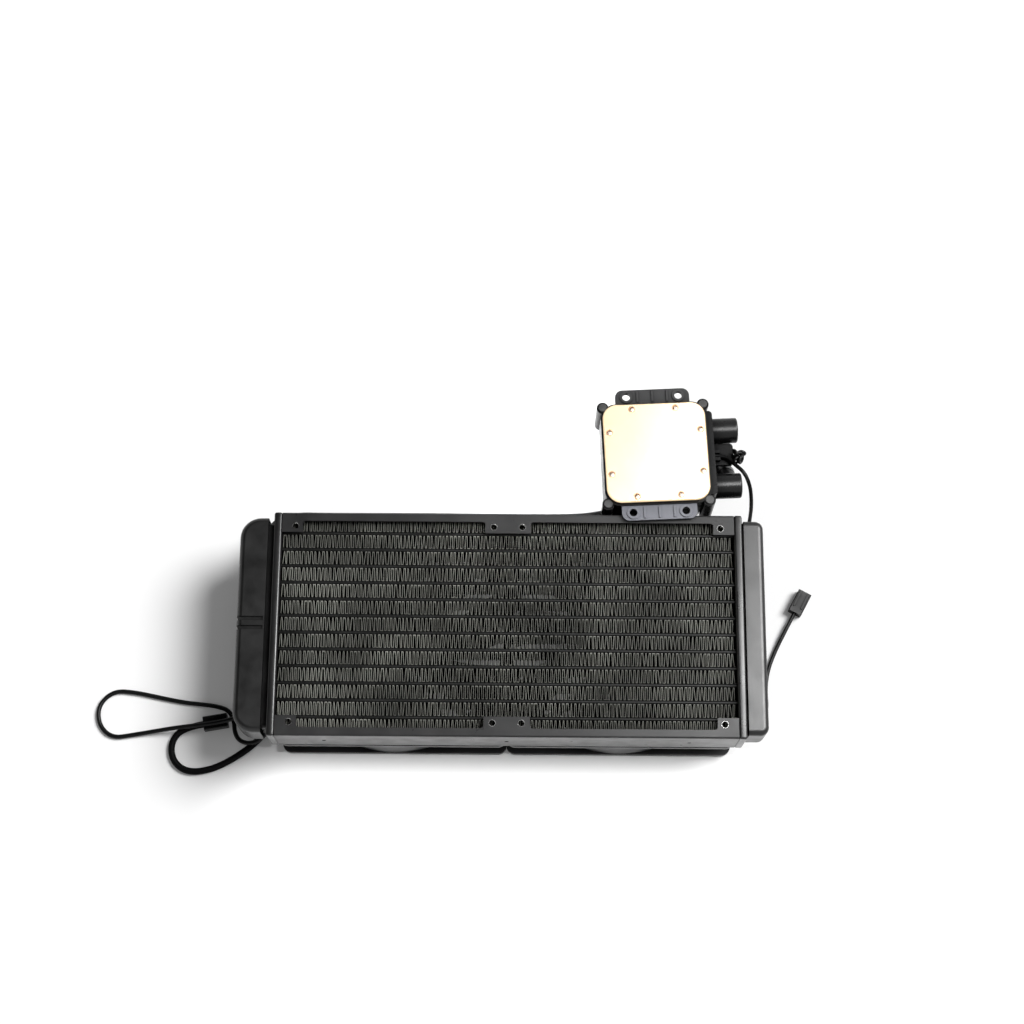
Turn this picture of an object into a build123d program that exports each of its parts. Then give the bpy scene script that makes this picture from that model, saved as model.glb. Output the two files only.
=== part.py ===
from build123d import *
import math
import os

# A 240 mm all in one liquid cooler, lying radiator face up on its two fans, with the pump block
# upside down behind it. Everything is built about the middle of the radiator with the table at z = 0,
# +X along the radiator and +Y towards the pump, and is moved at the end so that the bottom centre of
# the box round the rigid pieces is the origin. All sizes are in millimetres.

# Fits shared by several pieces
FIT = 0.05
SEAT_GAP = 0.2
RUNNING_FIT = 0.04

# Radiator core and rails
RAIL_LENGTH = 239.4
RADIATOR_WIDTH = 119.6
RADIATOR_DEPTH = 27.0
RAIL_WALL = 2.4
FLANGE_THICKNESS = 1.4
FLANGE_WIDTH = 4.5
TAB_DEPTH = 10.7
CORNER_TAB = 11.0
MIDDLE_TAB = 24.0
TAB_ROUND = 1.6
RAIL_ROUND = 1.0
SCREW_PATTERN = 105.0
SCREW_PAIR = 15.0
CASE_SIDE_HOLE = 3.6
CORE_DEPTH = 20.6
TUBE_COUNT = 12
TUBE_THICKNESS = 1.9
TUBE_WALL = 0.3
FIN_FOLDS = 26
FIN_SHEET = 0.55
DIMPLE_SPACING = 95.0
DIMPLE_DIAMETER = 2.2
DIMPLE_DEPTH = 0.4

# Header plates and tanks
HEADER_THICKNESS = 4.3
HEADER_WIDTH = 121.0
HEADER_ROUND = 3.0
TANK_WIDTH = 115.2
TANK_DEPTH = 24.0
TANK_WALL = 2.0
TANK_EDGE = 3.0
LEFT_TANK_LENGTH = 18.0
LEFT_TANK_CORNER = 11.0
LEFT_NECK = 3.2
RIGHT_TANK_LENGTH = 11.5
RIGHT_TANK_CORNER = 4.5
RIGHT_NECK = 1.0
NECK_INSET = 2.6
GROOVE_SPACING = 4.9
GROOVE_WIDTH = 2.2
GROOVE_DEPTH = 0.9
BAFFLE_THICKNESS = 1.6

# Ports under the left tank, and the hose size that they and the pump share
HOSE_DIAMETER = 10.0
HOSE_LOW_Z = 5.5
HOSE_HIGH_Z = 16.8
PORT_SPACING = 44.0
PORT_X = -131.5
PORT_DIAMETER = 10.4
PORT_BOSS_DIAMETER = 14.0
PORT_BOSS_HEIGHT = 2.0
PORT_REACH = 9.0
CLAMP_THICKNESS = 0.4
CLAMP_WIDTH = 4.0
CLAMP_INSET = 1.0
CLAMP_PAD_DEPTH = 3.6
CLAMP_PAD_WIDTH = 4.8
CLAMP_PAD_CORNER = 0.6

# Fans
FAN_SIZE = 120.0
FAN_DEPTH = 25.0
FAN_CORNER = 4.5
FAN_BORE = 116.0
FAN_DUCT_WALL = 1.7
FAN_FLANGE = 3.3
FAN_HOLE = 4.3
FAN_LIP = 1.5
HUB_DIAMETER = 41.0
HUB_HEIGHT = 17.5
HUB_WALL = 1.6
HUB_CAP = 2.0
HUB_RECESS = 1.2
HUB_EDGE = 1.6
HUB_TO_BASE = 0.8
BLADE_COUNT = 9
BLADE_TIP_GAP = 1.3
BLADE_TIP_DIAMETER = FAN_BORE - 2 * BLADE_TIP_GAP
BLADE_THICKNESS = 1.7
BLADE_SEAT = 1.0
BLADE_OVERRUN = 1.0
BLADE_ROOT_CHORD = 17.0
BLADE_MIDDLE_CHORD = 23.0
BLADE_TIP_CHORD = 27.0
BLADE_ROOT_ANGLE = 48.0
BLADE_MIDDLE_ANGLE = 35.5
BLADE_TIP_ANGLE = 27.0
BLADE_MIDDLE_SWEEP = 6.3
BLADE_TIP_SWEEP = 14.0
BLADE_CAMBER = 0.10
BASE_THICKNESS = 3.2
STRUT_WIDTH = 4.6
STRUT_COUNT = 4
STRUT_OFFSET = 10.2
LEFT_STRUT_ANGLE = 210.0
RIGHT_STRUT_ANGLE = 130.0
BEARING_TUBE_DIAMETER = 10.0
SLEEVE_DIAMETER = 7.0
SHAFT_DIAMETER = 3.0
STATOR_DIAMETER = 33.0
STATOR_STACK = 8.0
STATOR_POLES = 4
STATOR_POLE_GAP = 4.0
STATOR_CORE_WALL = 2.0
MAGNET_AIR_GAP = 0.7
BOARD_THICKNESS = 1.2
LEAD_EXIT_DIAMETER = 5.6
LEAD_EXIT_LENGTH = 5.0
SCREW_HEAD_DIAMETER = 7.0
SCREW_HEAD_HEIGHT = 2.2
SCREW_DIAMETER = 3.0
SCREW_BITE = 1.6
SCREW_EDGE = 0.6
SCREW_SLOT = 0.9
SCREW_SLOT_LENGTH = 4.2
SCREW_SLOT_DEPTH = 1.1

# Pump: its place, its yaw and the heights of its layers
PUMP_X = 78.7
PUMP_Y = 93.3
PUMP_YAW = 2.9
PLATE_TOP_Z = 60.0
PLATE_SIZE = 55.0
PLATE_CORNER = 8.0
PLATE_THICKNESS = 2.5
PLATE_BEVEL = 0.6
PLATE_SCREW_INSET = 3.1
PLATE_SCREW_PITCH = 23.4
PLATE_SCREW_DIAMETER = 1.9
PLATE_SCREW_HEAD = 3.0
PLATE_SCREW_HEAD_HEIGHT = 0.8
PLATE_SCREW_LENGTH = 7.0
MICROFIN_BLOCK = 30.0
MICROFIN_HEIGHT = 2.0
MICROFIN_COUNT = 14
MICROFIN_THICKNESS = 0.9
SEAL_SIZE = 46.0
SEAL_SECTION = 1.6
SEAL_CORNER = 6.0
HOUSING_SIZE = 57.0
HOUSING_CORNER = 8.5
HOUSING_HEIGHT = 19.5
WATER_POCKET = 40.0
WATER_POCKET_DEPTH = 3.0
WATER_POCKET_CORNER = 4.0
VOLUTE_GAP = 2.0
VOLUTE_DEPTH = 8.5
CAN_DIAMETER = 16.0
CAN_DEPTH = 12.5
CAN_WALL = 1.0
MANIFOLD_WIDTH = 47.0
MANIFOLD_REACH = 3.2
MANIFOLD_TOP_DROP = 2.4
MANIFOLD_ROUND = 2.0
LUG_DIAMETER = 6.4
LUG_OFFSET = 27.0
LUG_DROP = 1.2
HOUSING_SCREW_DIAMETER = 2.6
HOUSING_SCREW_HEAD = 4.4
HOUSING_SCREW_HEAD_HEIGHT = 1.1
CAP_SIZE = 55.0
CAP_CORNER = 10.0
CAP_WALL = 2.0
CAP_EDGE = 3.0
CAP_POST = 4.0
CAP_POST_OFFSET = 16.0
CAP_LUG_HEIGHT = 9.0
CAP_SCREW_BITE = 7.0
PUMP_BOARD = 44.0
PUMP_BOARD_CORNER = 6.0
PUMP_STATOR_DIAMETER = 40.0
PUMP_STATOR_HEIGHT = 7.5
PUMP_STATOR_POLES = 6
PUMP_STATOR_CORE_WALL = 3.0
IMPELLER_DIAMETER = 30.0
IMPELLER_DISC = 1.6
IMPELLER_VANES = 7
IMPELLER_VANE_HEIGHT = 4.2
IMPELLER_VANE_THICKNESS = 1.2
IMPELLER_VANE_START = 4.8
IMPELLER_VANE_INSET = 0.5
IMPELLER_VANE_BOW = 2.6
IMPELLER_VANE_LAG = 0.7
MAGNET_DIAMETER = 14.0
PUMP_SHAFT_DIAMETER = 3.0
PUMP_SHAFT_ABOVE_DISC = 2.0
EAR_WIDTH = 40.0
EAR_REACH = 36.6
EAR_THICKNESS = 2.0
EAR_CORNER = 4.0
EAR_GROOVE_DEPTH = 2.5
EAR_HOLE_SPACING_X = 28.0
EAR_HOLE_SPACING_Y = 65.0
EAR_HOLE = 4.2
EAR_RIB_HEIGHT = 0.7
EAR_RIB_WIDTH = 1.1
EAR_RIB_SPACING = 8.0
EAR_RIB_START = 29.5
EAR_RIB_END = 35.6
EAR_HOLE_RIM = 1.3
EAR_CLEARANCE = 0.4

# The shelf between the elbows that carries the pump's lead between two posts
SHELF_REACH = 11.5
SHELF_LOW_Y = -3.4
SHELF_HIGH_Y = 8.7
SHELF_LOW_Z = 40.2
SHELF_TOP_Z = 42.6
SHELF_ROUND = 2.0
LEAD_POST_LENGTH = 4.0
LEAD_POST_WIDTH = 1.6
LEAD_POST_HEIGHT = 2.8
PUMP_LEAD_Y = 1.5

# Swivel elbows on the pump
ELBOW_Z = 43.5
ELBOW_SPACING = 31.4
ELBOW_DIAMETER = 13.6
ELBOW_LENGTH = 14.2
ELBOW_EDGE = 1.0
ELBOW_SPIGOT = 9.0
ELBOW_SPIGOT_LENGTH = 4.0
ELBOW_STUB_REACH = 9.8
ELBOW_STUB_DIAMETER = 10.8
UPPER_ELBOW_TURN = 0.0
LOWER_ELBOW_TURN = 45.0

# Cords: the bends' share of the straight runs, and the first straight run of each
BEND_SHARE = 0.45
TABLE_GAP = 0.1
UPPER_HOSE_RUN = 9.8
LOWER_HOSE_RUN = 11.0
LEFT_LEAD_RUN = 8.3
RIGHT_LEAD_RUN = 15.0
PUMP_LEAD_RUN = 6.8

# Leads and their connectors
LEFT_LEAD_DIAMETER = 2.4
RIGHT_LEAD_DIAMETER = 3.6
PUMP_LEAD_DIAMETER = 2.1
PLUG_LENGTH = 13.0
PLUG_WIDTH = 7.6
PLUG_THICKNESS = 5.6
PLUG_CELLS = 3
PLUG_CELL = 1.2
PLUG_CELL_PITCH = 2.0
PLUG_CELL_DEPTH = 6.5
PLUG_KEY = 0.8
PLUG_KEY_START = 3.2
PLUG_KEY_LENGTH = 9.1
PLUG_KEY_OFFSET = 2.2
PLUG_EDGE = 0.5
TIE_WIDTH = 1.6
TIE_THICKNESS = 0.9
TIE_HEAD = 2.8
TIE_HEAD_WIDTH = 2.2
TIE_TAIL = 6.5
TIE_TAIL_HEADING = 180.0

# Heights and faces that follow from the sizes above
FAN_BOTTOM_Z = SCREW_HEAD_HEIGHT
FAN_TOP_Z = FAN_BOTTOM_Z + FAN_DEPTH
RADIATOR_TOP_Z = FAN_TOP_Z + RADIATOR_DEPTH
RADIATOR_MID_Z = FAN_TOP_Z + RADIATOR_DEPTH / 2
RAIL_END = RAIL_LENGTH / 2
HEADER_OUT = RAIL_END + HEADER_THICKNESS
TANK_BOTTOM_Z = RADIATOR_MID_Z - TANK_DEPTH / 2
LEFT_END = HEADER_OUT + LEFT_TANK_LENGTH
RIGHT_END = HEADER_OUT + RIGHT_TANK_LENGTH
CORE_HALF = RADIATOR_WIDTH / 2 - RAIL_WALL
FIN_HEIGHT = (2 * CORE_HALF - TUBE_COUNT * TUBE_THICKNESS) / (TUBE_COUNT + 1)
TUBE_PITCH = FIN_HEIGHT + TUBE_THICKNESS
SCREW_XS = [side * (SCREW_PAIR / 2 + far * SCREW_PATTERN) for side in (-1, 1) for far in (0, 1)]
HOUSING_TOP_Z = PLATE_TOP_Z - PLATE_THICKNESS
HOUSING_BOTTOM_Z = HOUSING_TOP_Z - HOUSING_HEIGHT
CAP_BOTTOM_Z = HOSE_HIGH_Z + HOSE_DIAMETER / 2 + SEAT_GAP
VOLUTE_DIAMETER = IMPELLER_DIAMETER + 2 * VOLUTE_GAP
VOLUTE_FLOOR_Z = HOUSING_TOP_Z - WATER_POCKET_DEPTH - VOLUTE_DEPTH
EAR_BOTTOM_Z = RADIATOR_TOP_Z + EAR_CLEARANCE
EAR_ROOT = HOUSING_SIZE / 2 - EAR_GROOVE_DEPTH
MANIFOLD_FACE = HOUSING_SIZE / 2 + MANIFOLD_REACH
ELBOW_X = MANIFOLD_FACE + ELBOW_LENGTH / 2
FAN_HUB_FLOOR = HUB_RECESS + HUB_CAP + HUB_TO_BASE
BASE_BOTTOM = FAN_DEPTH - BASE_THICKNESS


def block(length, width, height, centre, low_z, corner=0.0):
    """A plate with rounded corners in plan, standing on low_z."""
    outline = RectangleRounded(length, width, corner) if corner else Rectangle(length, width)
    return Pos(centre[0], centre[1], low_z) * extrude(outline, height)


def pin(diameter, height, centre, low_z):
    """An upright cylinder standing on low_z."""
    return Pos(centre[0], centre[1], low_z) * extrude(Circle(diameter / 2), height)


def ring(outer, inner, height, centre, low_z):
    """An upright ring standing on low_z."""
    return pin(outer, height, centre, low_z) - pin(inner, height, centre, low_z)


def bar_x(outline, low_x, length, centre_y, centre_z):
    """An outline in the YZ plane, run along +X."""
    plane = Plane(origin=(low_x, centre_y, centre_z), x_dir=(0, 1, 0), z_dir=(1, 0, 0))
    return extrude(plane * outline, length)


def edges_at(part, axis, value, reach=0.01):
    """The edges of a part that lie at one value of an axis."""
    return part.edges().filter_by_position(axis, value - reach, value + reach)


def side_rail(side):
    """A channel rail: a web with a flange above and below, cut back between its screw tabs."""
    outer = side * RADIATOR_WIDTH / 2
    rail = block(RAIL_LENGTH, RAIL_WALL, RADIATOR_DEPTH, (0, outer - side * RAIL_WALL / 2), FAN_TOP_Z)
    for low in (FAN_TOP_Z, RADIATOR_TOP_Z - FLANGE_THICKNESS):
        middle = outer - side * TAB_DEPTH / 2
        rail += block(RAIL_LENGTH, TAB_DEPTH, FLANGE_THICKNESS, (0, middle), low)
    rail = fillet(edges_at(rail.edges().filter_by(Axis.X), Axis.Y, outer), RAIL_ROUND)
    inner = outer - side * FLANGE_WIDTH
    window = RAIL_END - CORNER_TAB - MIDDLE_TAB / 2
    window_depth = 2 * (TAB_DEPTH - FLANGE_WIDTH)
    for end in (-1, 1):
        centre_x = end * (MIDDLE_TAB / 2 + window / 2)
        centre_y = inner - side * window_depth / 2
        rail -= block(window, window_depth, RADIATOR_DEPTH, (centre_x, centre_y), FAN_TOP_Z, TAB_ROUND)
    for x in SCREW_XS:
        place = (x, side * SCREW_PATTERN / 2)
        rail -= pin(SCREW_DIAMETER + 2 * FIT, RADIATOR_DEPTH, place, FAN_TOP_Z)
        rail -= pin(CASE_SIDE_HOLE, FLANGE_THICKNESS, place, RADIATOR_TOP_Z - FLANGE_THICKNESS)
    for step in (-1, 0, 1):
        dimple = Plane(origin=(step * DIMPLE_SPACING, outer, RADIATOR_MID_Z), z_dir=(0, side, 0))
        rail -= extrude(dimple * Circle(DIMPLE_DIAMETER / 2), -DIMPLE_DEPTH)
    return rail


def tube_places():
    """The Y of each flat tube, from front to back."""
    return [(k - (TUBE_COUNT - 1) / 2) * TUBE_PITCH for k in range(TUBE_COUNT)]


def flat_tubes():
    """The flat water tubes, hollow, through both header plates."""
    reach = HEADER_OUT
    outline = SlotOverall(CORE_DEPTH, TUBE_THICKNESS, 90)
    bore = SlotOverall(CORE_DEPTH - 2 * TUBE_WALL, TUBE_THICKNESS - 2 * TUBE_WALL, 90)
    tube = bar_x(outline - bore, -reach, 2 * reach, 0, RADIATOR_MID_Z)
    return [Pos(0, y, 0) * tube for y in tube_places()]


def fin_rows():
    """Rows of folded fins, one between each two tubes and one beside each rail."""
    rise = (FIN_HEIGHT - FIN_SHEET) / 2 - FIT
    span = 2 * RAIL_END - 2 * FIT
    step = span / (2 * FIN_FOLDS)
    folds = [(-span / 2 + k * step, rise if k % 2 else -rise) for k in range(2 * FIN_FOLDS + 1)]
    above = [(x, y + FIN_SHEET / 2) for x, y in folds]
    below = [(x, y - FIN_SHEET / 2) for x, y in reversed(folds)]
    sheet = make_face(Polyline(*above, *below, close=True))
    row = Pos(0, 0, RADIATOR_MID_Z - CORE_DEPTH / 2) * extrude(sheet, CORE_DEPTH)
    first = -CORE_HALF + FIN_HEIGHT / 2
    return [Pos(0, first + k * TUBE_PITCH, 0) * row for k in range(TUBE_COUNT + 1)]


def header_plate(side):
    """The plate that closes one end of the core, with a slot for each tube."""
    low_x = RAIL_END if side > 0 else -HEADER_OUT
    plate = bar_x(RectangleRounded(HEADER_WIDTH, RADIATOR_DEPTH, HEADER_ROUND), low_x, HEADER_THICKNESS,
                  0, RADIATOR_MID_Z)
    slot = SlotOverall(CORE_DEPTH + 2 * FIT, TUBE_THICKNESS + 2 * FIT, 90)
    for y in tube_places():
        plate -= bar_x(slot, low_x, HEADER_THICKNESS, y, RADIATOR_MID_Z)
    return plate


def end_tank(side, length, corner, neck):
    """An end tank: a narrower neck on the header plate, and a hollow box with rounded outer corners."""
    body_length = length - neck
    body = block(body_length, TANK_WIDTH, TANK_DEPTH, (HEADER_OUT + neck + body_length / 2, 0), TANK_BOTTOM_Z)
    body = fillet(edges_at(body.edges().filter_by(Axis.Z), Axis.X, HEADER_OUT + length), corner)
    top = edges_at(body, Axis.Z, TANK_BOTTOM_Z + TANK_DEPTH)
    bottom = edges_at(body, Axis.Z, TANK_BOTTOM_Z)
    inner = HEADER_OUT + neck
    rim = [edge for edge in top + bottom if edge.center().X > inner + FIT]
    body = fillet(rim, TANK_EDGE)
    narrow = RectangleRounded(TANK_WIDTH - 2 * NECK_INSET, TANK_DEPTH - 2 * NECK_INSET, TANK_WALL)
    tank = body + bar_x(narrow, HEADER_OUT, neck, 0, RADIATOR_MID_Z)
    inside = TANK_WALL + NECK_INSET
    bore = RectangleRounded(TANK_WIDTH - 2 * inside, TANK_DEPTH - 2 * inside, TANK_WALL)
    tank -= bar_x(bore, HEADER_OUT, length - TANK_WALL, 0, RADIATOR_MID_Z)
    return tank if side > 0 else mirror(tank, about=Plane.YZ)


def left_tank():
    """The tank with two chambers: two grooves over its baffle, and holes for the two ports below."""
    tank = end_tank(-1, LEFT_TANK_LENGTH, LEFT_TANK_CORNER, LEFT_NECK)
    groove_length = LEFT_TANK_LENGTH - LEFT_NECK
    centre_x = -HEADER_OUT - LEFT_NECK - groove_length / 2
    for side in (-1, 1):
        centre = (centre_x - GROOVE_DEPTH, side * GROOVE_SPACING / 2)
        shell = block(groove_length, GROOVE_WIDTH, TANK_DEPTH, centre, TANK_BOTTOM_Z)
        core_centre = (centre_x + GROOVE_DEPTH, centre[1])
        shell -= block(groove_length, GROOVE_WIDTH, TANK_DEPTH - 2 * GROOVE_DEPTH, core_centre,
                       TANK_BOTTOM_Z + GROOVE_DEPTH)
        tank -= shell
    for side in (-1, 1):
        tank -= pin(PORT_DIAMETER + 2 * FIT, TANK_WALL + NECK_INSET + FIT, (PORT_X, side * PORT_SPACING / 2),
                    TANK_BOTTOM_Z)
    return tank


def tank_baffle():
    """The plate that parts the left tank into two chambers."""
    inside = TANK_WALL + NECK_INSET + FIT
    low_x = -HEADER_OUT - LEFT_TANK_LENGTH + TANK_WALL + FIT
    length = LEFT_TANK_LENGTH - TANK_WALL - 2 * FIT
    return block(length, BAFFLE_THICKNESS, TANK_DEPTH - 2 * inside, (low_x + length / 2, 0),
                 TANK_BOTTOM_Z + inside)


def port_elbow(side, axis_z):
    """A pipe from the tank's floor down to the hose's height, turned towards +Y, with a boss on top."""
    y = side * PORT_SPACING / 2
    top = TANK_BOTTOM_Z + TANK_WALL
    down = pin(PORT_DIAMETER, top - axis_z, (PORT_X, y), axis_z)
    plane = Plane(origin=(PORT_X, y, axis_z), z_dir=(0, 1, 0))
    pipe = down + Pos(PORT_X, y, axis_z) * Sphere(PORT_DIAMETER / 2)
    pipe += extrude(plane * Circle(PORT_DIAMETER / 2), PORT_REACH)
    boss = pin(PORT_BOSS_DIAMETER, PORT_BOSS_HEIGHT, (PORT_X, y), TANK_BOTTOM_Z - PORT_BOSS_HEIGHT)
    return pipe + boss


def corner_pockets():
    """The space between the two flanges of a fan frame, outside its round duct."""
    height = FAN_DEPTH - 2 * FAN_FLANGE
    side = FAN_SIZE + 2 * FIT
    around = block(side, side, height, (0, 0), FAN_FLANGE)
    return around - pin(FAN_BORE + 2 * FAN_DUCT_WALL, height, (0, 0), FAN_FLANGE)


def fan_frame(strut_angle):
    """The square frame with its round duct, motor base, bearing tube and struts."""
    frame = block(FAN_SIZE, FAN_SIZE, FAN_DEPTH, (0, 0), 0, FAN_CORNER)
    frame -= pin(FAN_BORE, FAN_DEPTH, (0, 0), 0)
    frame -= corner_pockets()
    mouth = frame.edges().filter_by(GeomType.CIRCLE)
    mouth = [edge for edge in edges_at(mouth, Axis.Z, 0) if abs(edge.radius - FAN_BORE / 2) < FIT]
    frame = fillet(mouth, FAN_LIP)
    base_z = BASE_BOTTOM
    frame += pin(HUB_DIAMETER, BASE_THICKNESS, (0, 0), base_z)
    frame += pin(BEARING_TUBE_DIAMETER, base_z - FAN_HUB_FLOOR, (0, 0), FAN_HUB_FLOOR)
    reach = FAN_BORE / 2 + FAN_DUCT_WALL / 2
    for k in range(STRUT_COUNT):
        strut = block(reach, STRUT_WIDTH, BASE_THICKNESS, (reach / 2, STRUT_OFFSET), base_z)
        frame += Rot(0, 0, strut_angle + k * 360 / STRUT_COUNT) * strut
    frame -= pin(SLEEVE_DIAMETER + 2 * FIT, base_z - FAN_HUB_FLOOR, (0, 0), FAN_HUB_FLOOR)
    half = SCREW_PATTERN / 2
    for x in (-half, half):
        for y in (-half, half):
            frame -= pin(FAN_HOLE, FAN_DEPTH, (x, y), 0)
    return frame


def with_lead_exit(frame, place, heading, height):
    """A frame with a round boss on its duct wall, in a corner pocket, where the lead leaves it."""
    direction = Vector(math.cos(math.radians(heading)), math.sin(math.radians(heading)), 0)
    face = Plane(origin=(place[0], place[1], height), z_dir=direction)
    boss = extrude(face * Circle(LEAD_EXIT_DIAMETER / 2), -LEAD_EXIT_LENGTH)
    return frame + (boss - pin(FAN_BORE, FAN_DEPTH, (0, 0), 0))


def blade_section(radius, chord, angle, sweep):
    """A thin crescent across a blade, square to the radius."""
    half = chord / 2
    bow = chord * BLADE_CAMBER
    upper = ThreePointArc((-half, 0), (0, bow + BLADE_THICKNESS / 2), (half, 0))
    lower = ThreePointArc((half, 0), (0, bow - BLADE_THICKNESS / 2), (-half, 0))
    face = make_face([upper, lower])
    turn = Rot(0, 0, sweep)
    middle_z = HUB_RECESS + HUB_HEIGHT / 2
    plane = Plane(origin=(radius, 0, middle_z), x_dir=(0, 1, 0), z_dir=(1, 0, 0))
    return turn * (plane * (Rot(0, 0, angle) * face))


def fan_rotor():
    """The hub cup with its swept, twisted blades, trimmed to the tip circle."""
    hub = pin(HUB_DIAMETER, HUB_HEIGHT, (0, 0), HUB_RECESS)
    hub = fillet(edges_at(hub, Axis.Z, HUB_RECESS), HUB_EDGE)
    root = HUB_DIAMETER / 2 - BLADE_SEAT
    tip = BLADE_TIP_DIAMETER / 2
    middle = (root + tip) / 2
    sections = [
        blade_section(root, BLADE_ROOT_CHORD, BLADE_ROOT_ANGLE, 0),
        blade_section(middle, BLADE_MIDDLE_CHORD, BLADE_MIDDLE_ANGLE, BLADE_MIDDLE_SWEEP),
        blade_section(tip + BLADE_OVERRUN, BLADE_TIP_CHORD, BLADE_TIP_ANGLE, BLADE_TIP_SWEEP),
    ]
    blade = loft(sections) & pin(BLADE_TIP_DIAMETER, FAN_DEPTH, (0, 0), 0)
    for k in range(BLADE_COUNT):
        hub += Rot(0, 0, k * 360 / BLADE_COUNT) * blade
    hub -= pin(HUB_DIAMETER - 2 * HUB_WALL, HUB_HEIGHT, (0, 0), HUB_RECESS + HUB_CAP)
    hub -= pin(SHAFT_DIAMETER, HUB_CAP, (0, 0), HUB_RECESS + HUB_CAP / 2)
    return hub


def fan_shaft():
    """The steel shaft, pressed into the hub and running in the sleeve."""
    low = HUB_RECESS + HUB_CAP / 2
    high = BASE_BOTTOM - SEAT_GAP
    return pin(SHAFT_DIAMETER, high - low, (0, 0), low)


def bearing_sleeve():
    """The bronze sleeve inside the frame's bearing tube."""
    low = FAN_HUB_FLOOR + SEAT_GAP
    high = BASE_BOTTOM
    return ring(SLEEVE_DIAMETER, SHAFT_DIAMETER + 2 * RUNNING_FIT, high - low, (0, 0), low)


def fan_magnet():
    """The ring magnet inside the hub's wall."""
    outer = HUB_DIAMETER - 2 * HUB_WALL - 2 * FIT
    low = HUB_RECESS + HUB_CAP
    return ring(outer, STATOR_DIAMETER + 2 * MAGNET_AIR_GAP, HUB_HEIGHT - HUB_CAP, (0, 0), low)


def fan_board():
    """The round circuit board against the motor base."""
    low = BASE_BOTTOM - BOARD_THICKNESS
    return ring(STATOR_DIAMETER, BEARING_TUBE_DIAMETER + 2 * FIT, BOARD_THICKNESS, (0, 0), low)


def fan_stator():
    """The four-pole stator round the bearing tube, on the board."""
    high = BASE_BOTTOM - BOARD_THICKNESS
    low = high - STATOR_STACK
    stator = ring(STATOR_DIAMETER, BEARING_TUBE_DIAMETER + 2 * FIT, STATOR_STACK, (0, 0), low)
    middle_x = BEARING_TUBE_DIAMETER / 2 + STATOR_CORE_WALL + STATOR_DIAMETER / 2
    slot = block(STATOR_DIAMETER, STATOR_POLE_GAP, STATOR_STACK, (middle_x, 0), low)
    for k in range(STATOR_POLES):
        stator -= Rot(0, 0, (k + 0.5) * 360 / STATOR_POLES) * slot
    return stator


def fan_screws():
    """The eight screws from below the fans into the radiator's tabs."""
    screws = []
    length = FAN_DEPTH + SCREW_BITE
    for x in SCREW_XS:
        for y in (-SCREW_PATTERN / 2, SCREW_PATTERN / 2):
            head = pin(SCREW_HEAD_DIAMETER, SCREW_HEAD_HEIGHT, (x, y), 0)
            head = fillet(edges_at(head, Axis.Z, 0), SCREW_EDGE)
            head -= block(SCREW_SLOT, SCREW_SLOT_LENGTH, SCREW_SLOT_DEPTH, (x, y), 0)
            head -= block(SCREW_SLOT_LENGTH, SCREW_SLOT, SCREW_SLOT_DEPTH, (x, y), 0)
            screws.append(head + pin(SCREW_DIAMETER, length, (x, y), SCREW_HEAD_HEIGHT))
    return screws


def pump_place():
    """From the pump's own frame, with its middle at the origin, to its place beside the radiator."""
    return Pos(PUMP_X, PUMP_Y, 0) * Rot(0, 0, PUMP_YAW)


def plate_screw_places():
    """Two screws beside the middle of each side of the cold plate."""
    edge = PLATE_SIZE / 2 - PLATE_SCREW_INSET
    half = PLATE_SCREW_PITCH / 2
    along = [(x, side * edge) for side in (-1, 1) for x in (-half, half)]
    across = [(side * edge, y) for side in (-1, 1) for y in (-half, half)]
    return along + across


def cold_plate():
    """The copper plate with a bevelled rim, countersunk screw holes and fins on its wet side."""
    plate = block(PLATE_SIZE, PLATE_SIZE, PLATE_THICKNESS, (0, 0), HOUSING_TOP_Z, PLATE_CORNER)
    plate = chamfer(edges_at(plate, Axis.Z, PLATE_TOP_Z), PLATE_BEVEL)
    for place in plate_screw_places():
        plate -= pin(PLATE_SCREW_DIAMETER + 2 * FIT, PLATE_THICKNESS, place, HOUSING_TOP_Z)
        plate -= pin(PLATE_SCREW_HEAD + 4 * FIT, PLATE_SCREW_HEAD_HEIGHT, place,
                     PLATE_TOP_Z - PLATE_SCREW_HEAD_HEIGHT + FIT)
    pitch = (MICROFIN_BLOCK - MICROFIN_THICKNESS) / (MICROFIN_COUNT - 1)
    for k in range(MICROFIN_COUNT):
        x = -MICROFIN_BLOCK / 2 + MICROFIN_THICKNESS / 2 + k * pitch
        plate += block(MICROFIN_THICKNESS, MICROFIN_BLOCK, MICROFIN_HEIGHT, (x, 0),
                       HOUSING_TOP_Z - MICROFIN_HEIGHT)
    return plate


def plate_screws():
    """The eight small screws that hold the cold plate to the housing."""
    screws = []
    head_z = PLATE_TOP_Z - PLATE_SCREW_HEAD_HEIGHT + FIT
    for place in plate_screw_places():
        head = pin(PLATE_SCREW_HEAD, PLATE_SCREW_HEAD_HEIGHT, place, head_z)
        thread = pin(PLATE_SCREW_DIAMETER, PLATE_SCREW_LENGTH, place, head_z - PLATE_SCREW_LENGTH)
        screws.append(head + thread)
    return screws


def plate_seal():
    """The square rubber seal in its groove round the water pocket."""
    low = HOUSING_TOP_Z - SEAL_SECTION
    hole = SEAL_SIZE - 2 * SEAL_SECTION
    return (block(SEAL_SIZE, SEAL_SIZE, SEAL_SECTION, (0, 0), low, SEAL_CORNER)
            - block(hole, hole, SEAL_SECTION, (0, 0), low, SEAL_CORNER - SEAL_SECTION))


def lug_places():
    """The four corner lugs of the housing."""
    return [(x, y) for x in (-LUG_OFFSET, LUG_OFFSET) for y in (-LUG_OFFSET, LUG_OFFSET)]


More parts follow.
